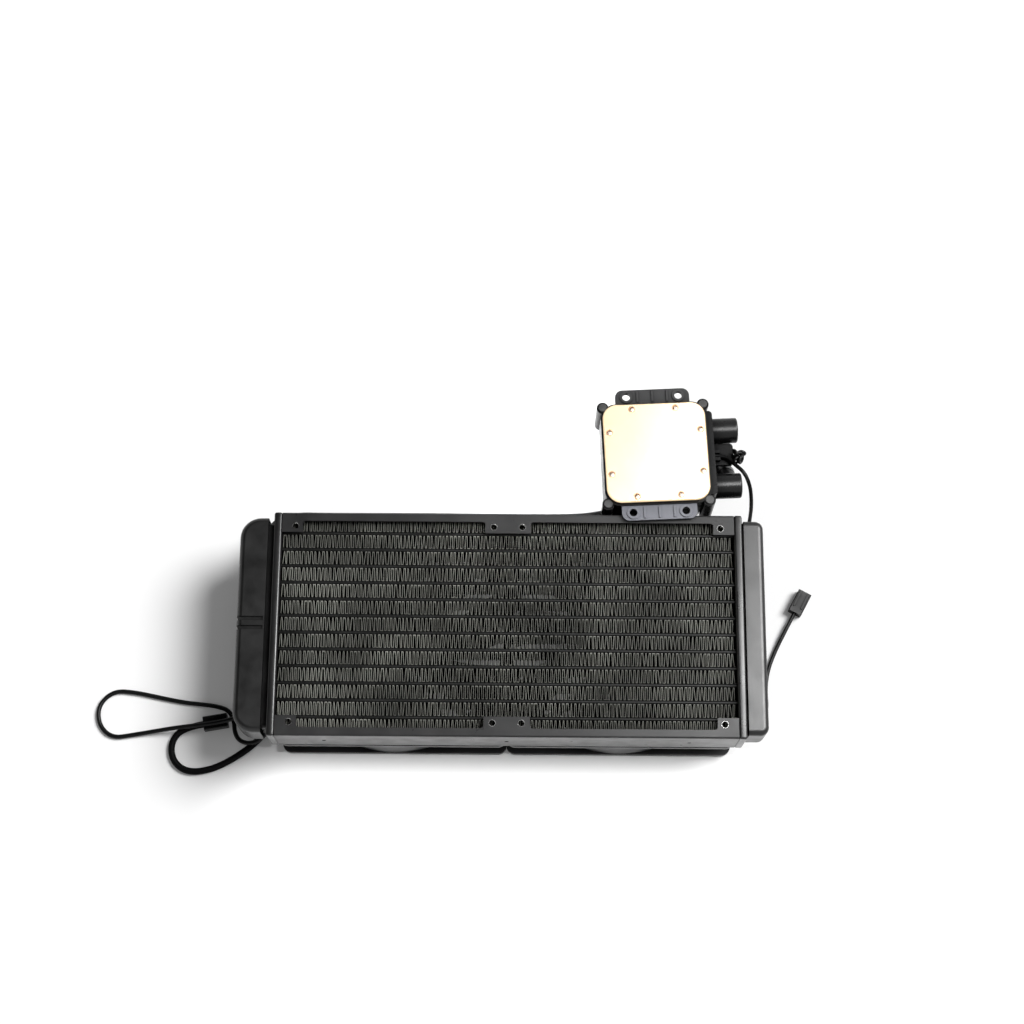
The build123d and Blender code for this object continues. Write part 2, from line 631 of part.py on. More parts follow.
def lead_shelf():
    """The shelf on the manifold's face under the pump's lead, with a post on each side of the lead."""
    length = SHELF_REACH + MANIFOLD_ROUND
    middle_y = (SHELF_LOW_Y + SHELF_HIGH_Y) / 2
    middle_x = MANIFOLD_FACE + SHELF_REACH - length / 2
    shelf = block(length, SHELF_HIGH_Y - SHELF_LOW_Y, SHELF_TOP_Z - SHELF_LOW_Z, (middle_x, middle_y),
                  SHELF_LOW_Z)
    outer = edges_at(shelf.edges().filter_by(Axis.Z), Axis.X, MANIFOLD_FACE + SHELF_REACH)
    shelf = fillet(outer, SHELF_ROUND)
    apart = PUMP_LEAD_DIAMETER / 2 + SEAT_GAP + LEAD_POST_WIDTH / 2
    for side in (-1, 1):
        centre = (MANIFOLD_FACE + LEAD_POST_LENGTH / 2, PUMP_LEAD_Y + side * apart)
        shelf += block(LEAD_POST_LENGTH, LEAD_POST_WIDTH, LEAD_POST_HEIGHT, centre, SHELF_TOP_Z)
    return shelf


def pump_housing():
    """The moulded body: water pocket, volute, rotor can, manifold, lead shelf, corner lugs and ear grooves."""
    body = block(HOUSING_SIZE, HOUSING_SIZE, HOUSING_HEIGHT, (0, 0), HOUSING_BOTTOM_Z, HOUSING_CORNER)
    for place in lug_places():
        body += pin(LUG_DIAMETER, HOUSING_HEIGHT - LUG_DROP, place, HOUSING_BOTTOM_Z)
    reach = MANIFOLD_REACH + HOUSING_CORNER
    manifold = block(reach, MANIFOLD_WIDTH, HOUSING_HEIGHT - MANIFOLD_TOP_DROP,
                     (MANIFOLD_FACE - reach / 2, 0), HOUSING_BOTTOM_Z)
    body += fillet(edges_at(manifold.edges().filter_by(Axis.Z), Axis.X, MANIFOLD_FACE), MANIFOLD_ROUND)
    body += lead_shelf()
    pocket_z = HOUSING_TOP_Z - WATER_POCKET_DEPTH
    body -= block(WATER_POCKET, WATER_POCKET, WATER_POCKET_DEPTH, (0, 0), pocket_z,
                  WATER_POCKET_CORNER)
    seal = SEAL_SIZE + 2 * FIT
    inner = SEAL_SIZE - 2 * SEAL_SECTION - 2 * FIT
    groove_z = HOUSING_TOP_Z - SEAL_SECTION
    body -= (block(seal, seal, SEAL_SECTION, (0, 0), groove_z, SEAL_CORNER)
             - block(inner, inner, SEAL_SECTION, (0, 0), groove_z, SEAL_CORNER - SEAL_SECTION))
    body -= pin(VOLUTE_DIAMETER, VOLUTE_DEPTH, (0, 0), VOLUTE_FLOOR_Z)
    can_floor = VOLUTE_FLOOR_Z - CAN_DEPTH
    body += pin(CAN_DIAMETER + 2 * CAN_WALL, HOUSING_BOTTOM_Z - can_floor + CAN_WALL, (0, 0),
                can_floor - CAN_WALL)
    body -= pin(CAN_DIAMETER, CAN_DEPTH, (0, 0), can_floor)
    for place in plate_screw_places():
        depth = PLATE_SCREW_LENGTH
        body -= pin(PLATE_SCREW_DIAMETER + 2 * FIT, depth, place, HOUSING_TOP_Z - depth)
    for place in lug_places():
        body -= pin(HOUSING_SCREW_DIAMETER + 2 * FIT, HOUSING_HEIGHT, place, HOUSING_BOTTOM_Z)
        body -= pin(HOUSING_SCREW_HEAD + 4 * FIT, LUG_DROP, place, HOUSING_TOP_Z - LUG_DROP)
    for side in (-1, 1):
        low = EAR_ROOT - FIT
        centre_y = side * (low + HOUSING_SIZE / 2) / 2
        body -= block(EAR_WIDTH + 2 * FIT, HOUSING_SIZE / 2 - low + FIT, EAR_THICKNESS + 2 * FIT,
                      (0, centre_y), EAR_BOTTOM_Z - FIT)
        port = Plane(origin=(MANIFOLD_FACE, side * ELBOW_SPACING / 2, ELBOW_Z), z_dir=(1, 0, 0))
        body -= extrude(port * Circle(ELBOW_SPIGOT / 2 + FIT), -ELBOW_SPIGOT_LENGTH - SEAT_GAP)
    return body


def housing_screws():
    """The four corner screws that hold the cap under the housing."""
    screws = []
    head_z = HOUSING_TOP_Z - LUG_DROP
    for place in lug_places():
        head = pin(HOUSING_SCREW_HEAD, HOUSING_SCREW_HEAD_HEIGHT, place, head_z)
        length = HOUSING_HEIGHT - LUG_DROP + CAP_SCREW_BITE
        screws.append(head + pin(HOUSING_SCREW_DIAMETER, length, place, head_z - length))
    return screws


def pump_cap():
    """The moulded cap over the motor, open towards the housing, with four posts for the board."""
    height = HOUSING_BOTTOM_Z - CAP_BOTTOM_Z
    cap = block(CAP_SIZE, CAP_SIZE, height, (0, 0), CAP_BOTTOM_Z, CAP_CORNER)
    cap = fillet(edges_at(cap, Axis.Z, CAP_BOTTOM_Z), CAP_EDGE)
    inside = CAP_SIZE - 2 * CAP_WALL
    cap -= block(inside, inside, height - CAP_WALL, (0, 0), CAP_BOTTOM_Z + CAP_WALL, CAP_CORNER - CAP_WALL)
    post = HOUSING_BOTTOM_Z - PUMP_STATOR_HEIGHT - BOARD_THICKNESS - CAP_BOTTOM_Z
    for x in (-CAP_POST_OFFSET, CAP_POST_OFFSET):
        for y in (-CAP_POST_OFFSET, CAP_POST_OFFSET):
            cap += pin(CAP_POST, post, (x, y), CAP_BOTTOM_Z)
    for place in lug_places():
        cap += pin(LUG_DIAMETER, CAP_LUG_HEIGHT, place, HOUSING_BOTTOM_Z - CAP_LUG_HEIGHT)
        cap -= pin(HOUSING_SCREW_DIAMETER + 2 * FIT, CAP_SCREW_BITE + FIT, place,
                   HOUSING_BOTTOM_Z - CAP_SCREW_BITE - FIT)
    return cap


def pump_stator():
    """The stator ring round the rotor can, under the housing."""
    low = HOUSING_BOTTOM_Z - PUMP_STATOR_HEIGHT
    bore = CAN_DIAMETER + 2 * CAN_WALL + 2 * FIT
    stator = ring(PUMP_STATOR_DIAMETER, bore, PUMP_STATOR_HEIGHT, (0, 0), low)
    middle_x = bore / 2 + PUMP_STATOR_CORE_WALL + PUMP_STATOR_DIAMETER / 2
    slot = block(PUMP_STATOR_DIAMETER, STATOR_POLE_GAP, PUMP_STATOR_HEIGHT, (middle_x, 0), low)
    for k in range(PUMP_STATOR_POLES):
        stator -= Rot(0, 0, (k + 0.5) * 360 / PUMP_STATOR_POLES) * slot
    return stator


def pump_board():
    """The pump's circuit board between the stator and the cap's posts."""
    low = HOUSING_BOTTOM_Z - PUMP_STATOR_HEIGHT - BOARD_THICKNESS
    return block(PUMP_BOARD, PUMP_BOARD, BOARD_THICKNESS, (0, 0), low, PUMP_BOARD_CORNER)


def impeller():
    """The impeller disc with curved vanes, on the magnet that turns inside the can."""
    can_floor = VOLUTE_FLOOR_Z - CAN_DEPTH
    low = VOLUTE_FLOOR_Z + SEAT_GAP
    wheel = pin(IMPELLER_DIAMETER, IMPELLER_DISC, (0, 0), low)
    wheel += pin(MAGNET_DIAMETER, CAN_DEPTH, (0, 0), can_floor + SEAT_GAP)
    start = IMPELLER_VANE_START
    end = IMPELLER_DIAMETER / 2 - IMPELLER_VANE_INSET
    curve = ThreePointArc((start, 0), ((start + end) / 2, IMPELLER_VANE_BOW), (end, IMPELLER_VANE_LAG))
    vane = extrude(trace(curve, IMPELLER_VANE_THICKNESS), IMPELLER_VANE_HEIGHT)
    for k in range(IMPELLER_VANES):
        wheel += Rot(0, 0, k * 360 / IMPELLER_VANES) * (Pos(0, 0, low + IMPELLER_DISC) * vane)
    bore = PUMP_SHAFT_DIAMETER + 2 * RUNNING_FIT
    return wheel - pin(bore, CAN_DEPTH + IMPELLER_DISC + SEAT_GAP, (0, 0), can_floor)


def impeller_shaft():
    """The fixed ceramic shaft that stands on the can's floor."""
    floor = VOLUTE_FLOOR_Z - CAN_DEPTH
    return pin(PUMP_SHAFT_DIAMETER, CAN_DEPTH + IMPELLER_DISC + PUMP_SHAFT_ABOVE_DISC, (0, 0), floor)


def mounting_ear(side):
    """A flat ear in the housing's groove, with two screw holes and low ribs on its outer part."""
    depth = EAR_REACH - EAR_ROOT
    centre = (0, EAR_ROOT + depth / 2)
    ear = block(EAR_WIDTH, depth, EAR_THICKNESS, centre, EAR_BOTTOM_Z)
    ear = fillet(edges_at(ear.edges().filter_by(Axis.Z), Axis.Y, EAR_REACH), EAR_CORNER)
    hole_y = EAR_HOLE_SPACING_Y / 2
    top = EAR_BOTTOM_Z + EAR_THICKNESS
    rib_y = (EAR_RIB_START + EAR_RIB_END) / 2
    for x in (-EAR_RIB_SPACING, 0, EAR_RIB_SPACING):
        ear += block(EAR_RIB_WIDTH, EAR_RIB_END - EAR_RIB_START, EAR_RIB_HEIGHT, (x, rib_y), top)
    for x in (-EAR_HOLE_SPACING_X / 2, EAR_HOLE_SPACING_X / 2):
        ear += ring(EAR_HOLE + 2 * EAR_HOLE_RIM, EAR_HOLE, EAR_RIB_HEIGHT, (x, hole_y), top)
        ear -= pin(EAR_HOLE, EAR_THICKNESS, (x, hole_y), EAR_BOTTOM_Z)
    return ear if side > 0 else mirror(ear, about=Plane.XZ)


def elbow(side, turn):
    """A swivel elbow: a barrel along X with its spigot in the housing and a stub turned about X."""
    face_x = MANIFOLD_FACE
    barrel = bar_x(Circle(ELBOW_DIAMETER / 2), face_x, ELBOW_LENGTH, 0, 0)
    barrel = fillet(edges_at(barrel, Axis.X, face_x + ELBOW_LENGTH), ELBOW_EDGE)
    barrel += bar_x(Circle(ELBOW_SPIGOT / 2), face_x - ELBOW_SPIGOT_LENGTH, ELBOW_SPIGOT_LENGTH, 0, 0)
    stub = Pos(ELBOW_X, 0, 0) * extrude(Circle(ELBOW_STUB_DIAMETER / 2), -ELBOW_STUB_REACH)
    return Pos(0, side * ELBOW_SPACING / 2, ELBOW_Z) * (barrel + Rot(turn, 0, 0) * stub)


def hose_clamp(end, direction, pad_direction):
    """A ring clamp round the end of a hose, with a square pad for its screw on one side."""
    plane = Plane(origin=end, x_dir=pad_direction, z_dir=direction)
    outer = HOSE_DIAMETER / 2 + FIT + CLAMP_THICKNESS
    pad = RectangleRounded(CLAMP_PAD_DEPTH, CLAMP_PAD_WIDTH, CLAMP_PAD_CORNER)
    clamp = Circle(outer) + Pos(outer, 0) * pad
    clamp -= Circle(HOSE_DIAMETER / 2 + FIT)
    return extrude(plane.offset(CLAMP_INSET) * clamp, CLAMP_WIDTH)


def corner_radii(points):
    """Arcs as large as their two runs allow: a share of the shorter run over the tangent of half the turn."""
    corners = [Vector(*point) for point in points]
    radii = []
    for before, here, after in zip(corners, corners[1:], corners[2:]):
        turn = (here - before).get_angle(after - here)
        run = min((here - before).length, (after - here).length)
        radii.append(BEND_SHARE * run / math.tan(math.radians(turn / 2)))
    return radii


def cord(name, points, diameter):
    """A plain tube along straight runs joined by tangent arcs."""
    radii = corner_radii(points)
    path = FilletPolyline(*points, radius=radii)
    start = Vector(*points[1]) - Vector(*points[0])
    tube = sweep(Plane(origin=points[0], z_dir=start) * Circle(diameter / 2), path=path)
    expected = math.pi * diameter ** 2 / 4 * path.length
    print(f"{name}: length {path.length:.1f}, volume {tube.volume / expected:.4f} of section times length,")
    print(f"  radii over diameter {[round(radius / diameter, 1) for radius in radii]}")
    return tube


def beyond(start, heading, distance):
    """The point some way beyond a start, along a heading."""
    return tuple(a + b * distance for a, b in zip(start, heading))


def plug(route):
    """A small connector beyond a lead's level end, with two polarising ribs and its contact cells."""
    before, tip = route[-2:]
    heading = math.degrees(math.atan2(tip[1] - before[1], tip[0] - before[0]))
    body = block(PLUG_LENGTH, PLUG_WIDTH, PLUG_THICKNESS, (PLUG_LENGTH / 2, 0), -PLUG_THICKNESS / 2)
    body = chamfer(body.edges().filter_by(Axis.X), PLUG_EDGE)
    key_x = PLUG_KEY_START + PLUG_KEY_LENGTH / 2
    for key_y in (-PLUG_KEY_OFFSET, PLUG_KEY_OFFSET):
        body += block(PLUG_KEY_LENGTH, PLUG_KEY, PLUG_KEY, (key_x, key_y), PLUG_THICKNESS / 2)
    for k in range(PLUG_CELLS):
        y = (k - (PLUG_CELLS - 1) / 2) * PLUG_CELL_PITCH
        cell_x = PLUG_LENGTH - PLUG_CELL_DEPTH / 2
        body -= block(PLUG_CELL_DEPTH, PLUG_CELL, PLUG_CELL, (cell_x, y), -PLUG_CELL / 2)
    return Pos(*tip) * Rot(0, 0, heading) * body


def cable_tie(start, end, tail_heading):
    """A thin tie round the pump's lead, with its square head and its short cut tail."""
    along = Vector(*end) - Vector(*start)
    middle = Vector(*start) + along * 0.5
    plane = Plane(origin=middle, z_dir=along)
    inner = PUMP_LEAD_DIAMETER / 2 + FIT
    band = extrude(plane * (Circle(inner + TIE_THICKNESS) - Circle(inner)), TIE_WIDTH / 2, both=True)
    head_x = inner + TIE_THICKNESS + TIE_HEAD / 2 - FIT
    turned = plane * Rot(0, 0, tail_heading)
    head = extrude(turned * Pos(head_x, 0) * Rectangle(TIE_HEAD, TIE_HEAD), TIE_HEAD_WIDTH / 2, both=True)
    tail_x = head_x + TIE_HEAD / 2 + TIE_TAIL / 2 - FIT
    tail = extrude(turned * Pos(tail_x, 0) * Rectangle(TIE_TAIL, TIE_THICKNESS), TIE_WIDTH / 2, both=True)
    return band + head + tail


def pump_heading(local):
    """A heading in the pump's own frame, in the radiator's frame."""
    yaw = math.radians(PUMP_YAW)
    return (local[0] * math.cos(yaw) - local[1] * math.sin(yaw),
            local[0] * math.sin(yaw) + local[1] * math.cos(yaw), local[2])


def elbow_heading(turn):
    """The way an elbow's stub faces, in the radiator's frame."""
    down = math.radians(turn)
    return pump_heading((0, math.sin(down), -math.cos(down)))


def elbow_outlet(side, turn):
    """The end of an elbow's stub, in the radiator's frame."""
    down = math.radians(turn)
    return pump_point((ELBOW_X, side * ELBOW_SPACING / 2 + math.sin(down) * ELBOW_STUB_REACH,
                       ELBOW_Z - math.cos(down) * ELBOW_STUB_REACH))


def pump_point(local):
    """A point of the pump's own frame, in the radiator's frame."""
    yaw = math.radians(PUMP_YAW)
    x = PUMP_X + local[0] * math.cos(yaw) - local[1] * math.sin(yaw)
    y = PUMP_Y + local[0] * math.sin(yaw) + local[1] * math.cos(yaw)
    return (x, y, local[2])


def fan_point(sign, local, height):
    """A point of a fan's own frame, in the radiator's frame."""
    return (sign * FAN_SIZE / 2 + local[0], local[1], height)


def level_heading(angle):
    """A level heading at an angle from +X."""
    return (math.cos(math.radians(angle)), math.sin(math.radians(angle)), 0)


def port_outlet(side, axis_z):
    """The face of a port elbow, where the hose starts."""
    return (PORT_X, side * PORT_SPACING / 2 + PORT_REACH, axis_z)


# Where each fan's lead starts in its frame's corner pocket, and the way it leaves
LEFT_EXIT = (-50.4, -36.0)
LEFT_EXIT_Z = 18.0
LEFT_EXIT_ANGLE = 187.0
RIGHT_EXIT = (-37.8, 47.6)
RIGHT_EXIT_Z = 19.6
RIGHT_EXIT_ANGLE = 148.0
PUMP_LEAD_EXIT = (MANIFOLD_FACE, PUMP_LEAD_Y, 44.0)

# Heights of the cords' middles: each lead on the table, its plug, and the lead that lies on the hoses
LEFT_LOW_Z = LEFT_LEAD_DIAMETER / 2 + TABLE_GAP
RIGHT_LOW_Z = RIGHT_LEAD_DIAMETER / 2 + TABLE_GAP
PUMP_LOW_Z = PUMP_LEAD_DIAMETER / 2 + TABLE_GAP
PLUG_LOW_Z = PLUG_THICKNESS / 2 + TABLE_GAP
PLUG_HIGH_Z = PLUG_LOW_Z + RIGHT_LEAD_DIAMETER + SEAT_GAP
OVER_HOSE_Z = HOSE_HIGH_Z + HOSE_DIAMETER / 2 + RIGHT_LEAD_DIAMETER / 2 + SEAT_GAP

# The upper hose: from the back elbow down over the lower hose, behind the radiator to the back port.
UPPER_START = elbow_outlet(1, UPPER_ELBOW_TURN)
UPPER_HOSE_ROUTE = [
    UPPER_START,
    beyond(UPPER_START, elbow_heading(UPPER_ELBOW_TURN), UPPER_HOSE_RUN),
    (109.4, 108.6, HOSE_HIGH_Z),
    (96.0, 102.0, HOSE_HIGH_Z),
    (80.0, 87.5, HOSE_HIGH_Z),
    (66.0, 73.5, HOSE_HIGH_Z),
    (48.0, 65.9, HOSE_HIGH_Z),
    (5.0, 65.8, HOSE_HIGH_Z),
    (-50.0, 65.9, HOSE_HIGH_Z),
    (-98.0, 65.5, HOSE_HIGH_Z),
    (-118.5, 65.9, HOSE_HIGH_Z),
    (-128.4, 60.4, HOSE_HIGH_Z),
    (PORT_X, 48.2, HOSE_HIGH_Z),
    port_outlet(1, HOSE_HIGH_Z),
]

# The lower hose: from the front elbow under the upper one, on the table to the front port.
LOWER_START = elbow_outlet(-1, LOWER_ELBOW_TURN)
LOWER_HOSE_ROUTE = [
    LOWER_START,
    beyond(LOWER_START, elbow_heading(LOWER_ELBOW_TURN), LOWER_HOSE_RUN),
    (116.6, 97.8, 17.5),
    (109.0, 96.6, 8.6),
    (96.0, 92.6, HOSE_LOW_Z),
    (80.0, 82.5, HOSE_LOW_Z),
    (65.0, 72.0, HOSE_LOW_Z),
    (47.0, 65.8, HOSE_LOW_Z),
    (5.0, 65.3, HOSE_LOW_Z),
    (-52.0, 65.9, HOSE_LOW_Z),
    (-98.0, 65.4, HOSE_LOW_Z),
    (-118.3, 66.5, HOSE_LOW_Z),
    (-128.6, 60.2, HOSE_LOW_Z),
    (-131.9, 48.0, HOSE_LOW_Z),
    (PORT_X, 27.0, HOSE_LOW_Z),
    port_outlet(-1, HOSE_LOW_Z),
]

# The left fan's lead: out at the front corner, round the large loop and back to its plug.
LEFT_START = fan_point(-1, LEFT_EXIT, LEFT_EXIT_Z)
LEFT_LEAD_ROUTE = [
    LEFT_START,
    beyond(LEFT_START, level_heading(LEFT_EXIT_ANGLE), LEFT_LEAD_RUN),
    (-130.0, -39.4, 16.2),
    (-142.0, -42.2, 13.0),
    (-153.0, -44.6, 10.2),
    (-165.0, -46.2, 8.5),
    (-177.0, -47.2, 6.4),
    (-189.0, -48.6, 3.0),
    (-201.0, -50.4, LEFT_LOW_Z),
    (-213.0, -52.4, LEFT_LOW_Z),
    (-220.6, -45.4, LEFT_LOW_Z),
    (-221.6, -34.4, LEFT_LOW_Z),
    (-213.6, -26.4, LEFT_LOW_Z),
    (-202.0, -27.2, LEFT_LOW_Z),
    (-188.5, -30.0, LEFT_LOW_Z),
    (-175.5, -32.6, LEFT_LOW_Z),
    (-165.5, -33.6, 1.4),
    (-157.0, -34.6, 1.5),
    (-150.4, -36.9, 1.8),
    (-147.3, -43.0, 2.6),
    (-146.8, -48.6, 3.8),
    (-144.2, -53.8, 5.0),
    (-138.4, -55.7, 5.6),
    (-132.5, -53.8, 6.3),
    (-128.8, -49.1, PLUG_HIGH_Z),
    (-128.1, -42.6, PLUG_HIGH_Z),
]

# The right fan's lead: through the corner pocket, along the back on the hoses, down beside the fan's
# left side, under the left tank and round the small loop to its plug.
RIGHT_START = fan_point(1, RIGHT_EXIT, RIGHT_EXIT_Z)
RIGHT_LEAD_ROUTE = [
    RIGHT_START,
    beyond(RIGHT_START, level_heading(RIGHT_EXIT_ANGLE), RIGHT_LEAD_RUN),
    (0.5, 60.2, 21.3),
    (-9.5, 63.4, 23.9),
    (-21.0, 65.4, OVER_HOSE_Z),
    (-38.0, 65.8, OVER_HOSE_Z),
    (-66.0, 65.3, OVER_HOSE_Z),
    (-97.0, 66.0, OVER_HOSE_Z),
    (-114.5, 65.0, OVER_HOSE_Z),
    (-125.0, 58.4, OVER_HOSE_Z),
    (-127.4, 47.0, 23.2),
    (-123.0, 37.2, 17.6),
    (-122.9, 25.4, 9.6),
    (-123.1, 13.0, 3.0),
    (-122.9, -8.0, RIGHT_LOW_Z),
    (-123.1, -28.0, RIGHT_LOW_Z),
    (-125.4, -42.0, RIGHT_LOW_Z),
    (-134.0, -53.6, RIGHT_LOW_Z),
    (-146.3, -63.0, RIGHT_LOW_Z),
    (-158.3, -69.2, RIGHT_LOW_Z),
    (-171.2, -70.9, RIGHT_LOW_Z),
    (-179.4, -65.1, RIGHT_LOW_Z),
    (-181.2, -55.1, RIGHT_LOW_Z),
    (-175.4, -46.9, PLUG_LOW_Z),
    (-163.6, -44.8, PLUG_LOW_Z),
]

# The pump's lead: past the front elbow's end, down behind the right tank, under it and out again.
PUMP_LEAD_START = pump_point(PUMP_LEAD_EXIT)
PUMP_LEAD_ROUTE = [
    PUMP_LEAD_START,
    beyond(PUMP_LEAD_START, pump_heading((1, 0, 0)), PUMP_LEAD_RUN),
    (121.8, 91.2, 46.0),
    (127.0, 86.0, 47.6),
    (130.2, 79.6, 44.0),
    (131.6, 74.4, 36.5),
    (132.4, 70.6, 27.5),
    (132.6, 67.4, 17.5),
    (132.0, 61.5, 8.5),
    (130.6, 53.0, 2.6),
    (129.4, 42.0, PUMP_LOW_Z),
    (128.0, 22.0, PUMP_LOW_Z),
    (127.4, -2.0, PUMP_LOW_Z),
    (126.8, -22.0, PUMP_LOW_Z),
    (126.6, -36.1, PUMP_LOW_Z),
    (130.9, -40.4, PUMP_LOW_Z),
    (137.1, -40.4, PUMP_LOW_Z),
    (141.4, -36.1, PUMP_LOW_Z),
    (140.7, -22.0, PUMP_LOW_Z),
    (142.6, -11.5, PUMP_LOW_Z),
    (146.8, -1.4, 1.5),
    (151.6, 8.0, PLUG_LOW_Z),
    (157.6, 19.2, PLUG_LOW_Z),
]


def left_fan_frame():
    """The left fan's frame, with its lead's exit."""
    frame = fan_frame(LEFT_STRUT_ANGLE)
    return with_lead_exit(frame, LEFT_EXIT, LEFT_EXIT_ANGLE, LEFT_EXIT_Z - FAN_BOTTOM_Z)


def right_fan_frame():
    """The right fan's frame, with its lead's exit."""
    frame = fan_frame(RIGHT_STRUT_ANGLE)
    return with_lead_exit(frame, RIGHT_EXIT, RIGHT_EXIT_ANGLE, RIGHT_EXIT_Z - FAN_BOTTOM_Z)


def hose_clamps():
    """The clamps at the four hose ends, their screws turned away from what stands near."""
    clamps = []
    for side, turn in ((1, UPPER_ELBOW_TURN), (-1, LOWER_ELBOW_TURN)):
        away = math.radians(turn)
        pad = pump_heading((0, side * math.cos(away), side * math.sin(away)))
        clamps.append(hose_clamp(elbow_outlet(side, turn), elbow_heading(turn), pad))
    for side, axis_z in ((1, HOSE_HIGH_Z), (-1, HOSE_LOW_Z)):
        clamps.append(hose_clamp(port_outlet(side, axis_z), (0, 1, 0), (0, 0, 1)))
    return clamps


def group(pieces):
    """One node of several separate solids."""
    return Compound(children=list(pieces))


def radiator_nodes():
    """The radiator with its tanks and ports."""
    return {
        "side_rail_front": side_rail(-1),
        "side_rail_back": side_rail(1),
        "flat_tubes": group(flat_tubes()),
        "fin_rows": group(fin_rows()),
        "header_left": header_plate(-1),
        "header_right": header_plate(1),
        "tank_left": left_tank(),
        "tank_right": end_tank(1, RIGHT_TANK_LENGTH, RIGHT_TANK_CORNER, RIGHT_NECK),
        "tank_baffle": tank_baffle(),
        "port_back": port_elbow(1, HOSE_HIGH_Z),
        "port_front": port_elbow(-1, HOSE_LOW_Z),
    }


def fan_nodes():
    """Both fans with what is inside them, and the screws that hold them."""
    nodes = {}
    frames = {"left": left_fan_frame(), "right": right_fan_frame()}
    for side, sign in (("left", -1), ("right", 1)):
        place = Pos(sign * FAN_SIZE / 2, 0, FAN_BOTTOM_Z)
        nodes[f"fan_{side}_frame"] = place * frames[side]
        nodes[f"fan_{side}_rotor"] = place * fan_rotor()
        nodes[f"fan_{side}_magnet"] = place * fan_magnet()
        nodes[f"fan_{side}_shaft"] = place * fan_shaft()
        nodes[f"fan_{side}_sleeve"] = place * bearing_sleeve()
        nodes[f"fan_{side}_stator"] = place * fan_stator()
        nodes[f"fan_{side}_board"] = place * fan_board()
    nodes["fan_screws"] = group(fan_screws())
    return nodes


def pump_nodes():
    """The pump block, with its cold plate up."""
    place = pump_place()
    nodes = {
        "cold_plate": cold_plate(),
        "plate_screws": group(plate_screws()),
        "plate_seal": plate_seal(),
        "pump_housing": pump_housing(),
        "housing_screws": group(housing_screws()),
        "pump_cap": pump_cap(),
        "pump_stator": pump_stator(),
        "pump_board": pump_board(),
        "impeller": impeller(),
        "impeller_shaft": impeller_shaft(),
        "ear_back": mounting_ear(1),
        "ear_front": mounting_ear(-1),
        "elbow_back": elbow(1, UPPER_ELBOW_TURN),
        "elbow_front": elbow(-1, LOWER_ELBOW_TURN),
    }
    return {name: place * shape for name, shape in nodes.items()}


def cord_nodes():
    """The hoses and leads, with what is on them."""
    return {
        "hose_upper": cord("hose_upper", UPPER_HOSE_ROUTE, HOSE_DIAMETER),
        "hose_lower": cord("hose_lower", LOWER_HOSE_ROUTE, HOSE_DIAMETER),
        "lead_left_fan": cord("lead_left_fan", LEFT_LEAD_ROUTE, LEFT_LEAD_DIAMETER),
        "lead_right_fan": cord("lead_right_fan", RIGHT_LEAD_ROUTE, RIGHT_LEAD_DIAMETER),
        "lead_pump": cord("lead_pump", PUMP_LEAD_ROUTE, PUMP_LEAD_DIAMETER),
        "plug_left_fan": plug(LEFT_LEAD_ROUTE),
        "plug_right_fan": plug(RIGHT_LEAD_ROUTE),
        "plug_pump": plug(PUMP_LEAD_ROUTE),
        "cable_tie": cable_tie(PUMP_LEAD_ROUTE[2], PUMP_LEAD_ROUTE[3], TIE_TAIL_HEADING),
    }


def main():
    """Build every node, move all so that the rigid pieces' bottom centre is the origin, and write them."""
    rigid = {**radiator_nodes(), **fan_nodes(), **pump_nodes()}
    rigid["hose_clamps"] = group(hose_clamps())
    box = Compound(children=[piece.moved(Location()) for piece in rigid.values()]).bounding_box()
    shift = Pos(-box.center().X, -box.center().Y, 0)
    print(f"origin at x {box.center().X:.3f}, y {box.center().Y:.3f} from the radiator's middle")
    os.makedirs("parts", exist_ok=True)
    for name, shape in {**rigid, **cord_nodes()}.items():
        export_step(shift * shape, f"parts/{name}.step")


if __name__ == "__main__":
    main()
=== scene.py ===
"""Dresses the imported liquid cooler: finishes, fine fins, cords, screws, lamps, floor and camera."""

from __future__ import annotations

import logging  # noqa: E402
import math  # noqa: E402
from dataclasses import dataclass, field  # noqa: E402
from enum import Enum  # noqa: E402

import bmesh  # noqa: E402
import bpy  # noqa: E402
from mathutils import Matrix, Vector  # noqa: E402


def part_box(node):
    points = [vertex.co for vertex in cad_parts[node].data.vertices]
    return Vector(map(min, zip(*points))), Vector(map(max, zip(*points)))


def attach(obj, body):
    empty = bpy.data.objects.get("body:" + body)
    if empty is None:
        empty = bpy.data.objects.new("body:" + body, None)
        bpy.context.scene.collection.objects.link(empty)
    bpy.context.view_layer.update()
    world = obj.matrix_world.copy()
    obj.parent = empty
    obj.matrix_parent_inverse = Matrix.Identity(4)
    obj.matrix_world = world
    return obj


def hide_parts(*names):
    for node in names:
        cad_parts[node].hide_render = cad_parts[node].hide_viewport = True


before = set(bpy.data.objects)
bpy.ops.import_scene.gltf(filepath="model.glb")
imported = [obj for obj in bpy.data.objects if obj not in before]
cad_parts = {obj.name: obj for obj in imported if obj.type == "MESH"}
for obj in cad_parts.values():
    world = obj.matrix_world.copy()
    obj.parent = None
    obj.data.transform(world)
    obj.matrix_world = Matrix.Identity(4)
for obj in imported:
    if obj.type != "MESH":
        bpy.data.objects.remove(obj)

log = logging.getLogger("liquid_cooler")

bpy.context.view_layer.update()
BODY = "cooler"

# Patterns of every finish: stretch and scales, and the values where specks, the painted shade on reflections
# and the painted crevice shade on the colour start and end.
BRUSH_STRETCH = 0.05
SMUDGE_RATIO = 2.3
SPECK_SCALE = 1900.0
SPECK_RANGE = (0.62, 0.75)
SHADED_SHINE_RANGE = (0.25, 1.0)
CREVICE_SHADE_RANGE = (0.05, 0.55)

Colour = tuple[float, float, float]
Point = tuple[float, float, float]
Span = tuple[float, float]
Socket = bpy.types.NodeSocket
Ring = list[bmesh.types.BMVert]


class Relief(Enum):
    """How the fine relief of a finish runs."""

    GRAIN = "grain"
    BRUSHED = "brushed"


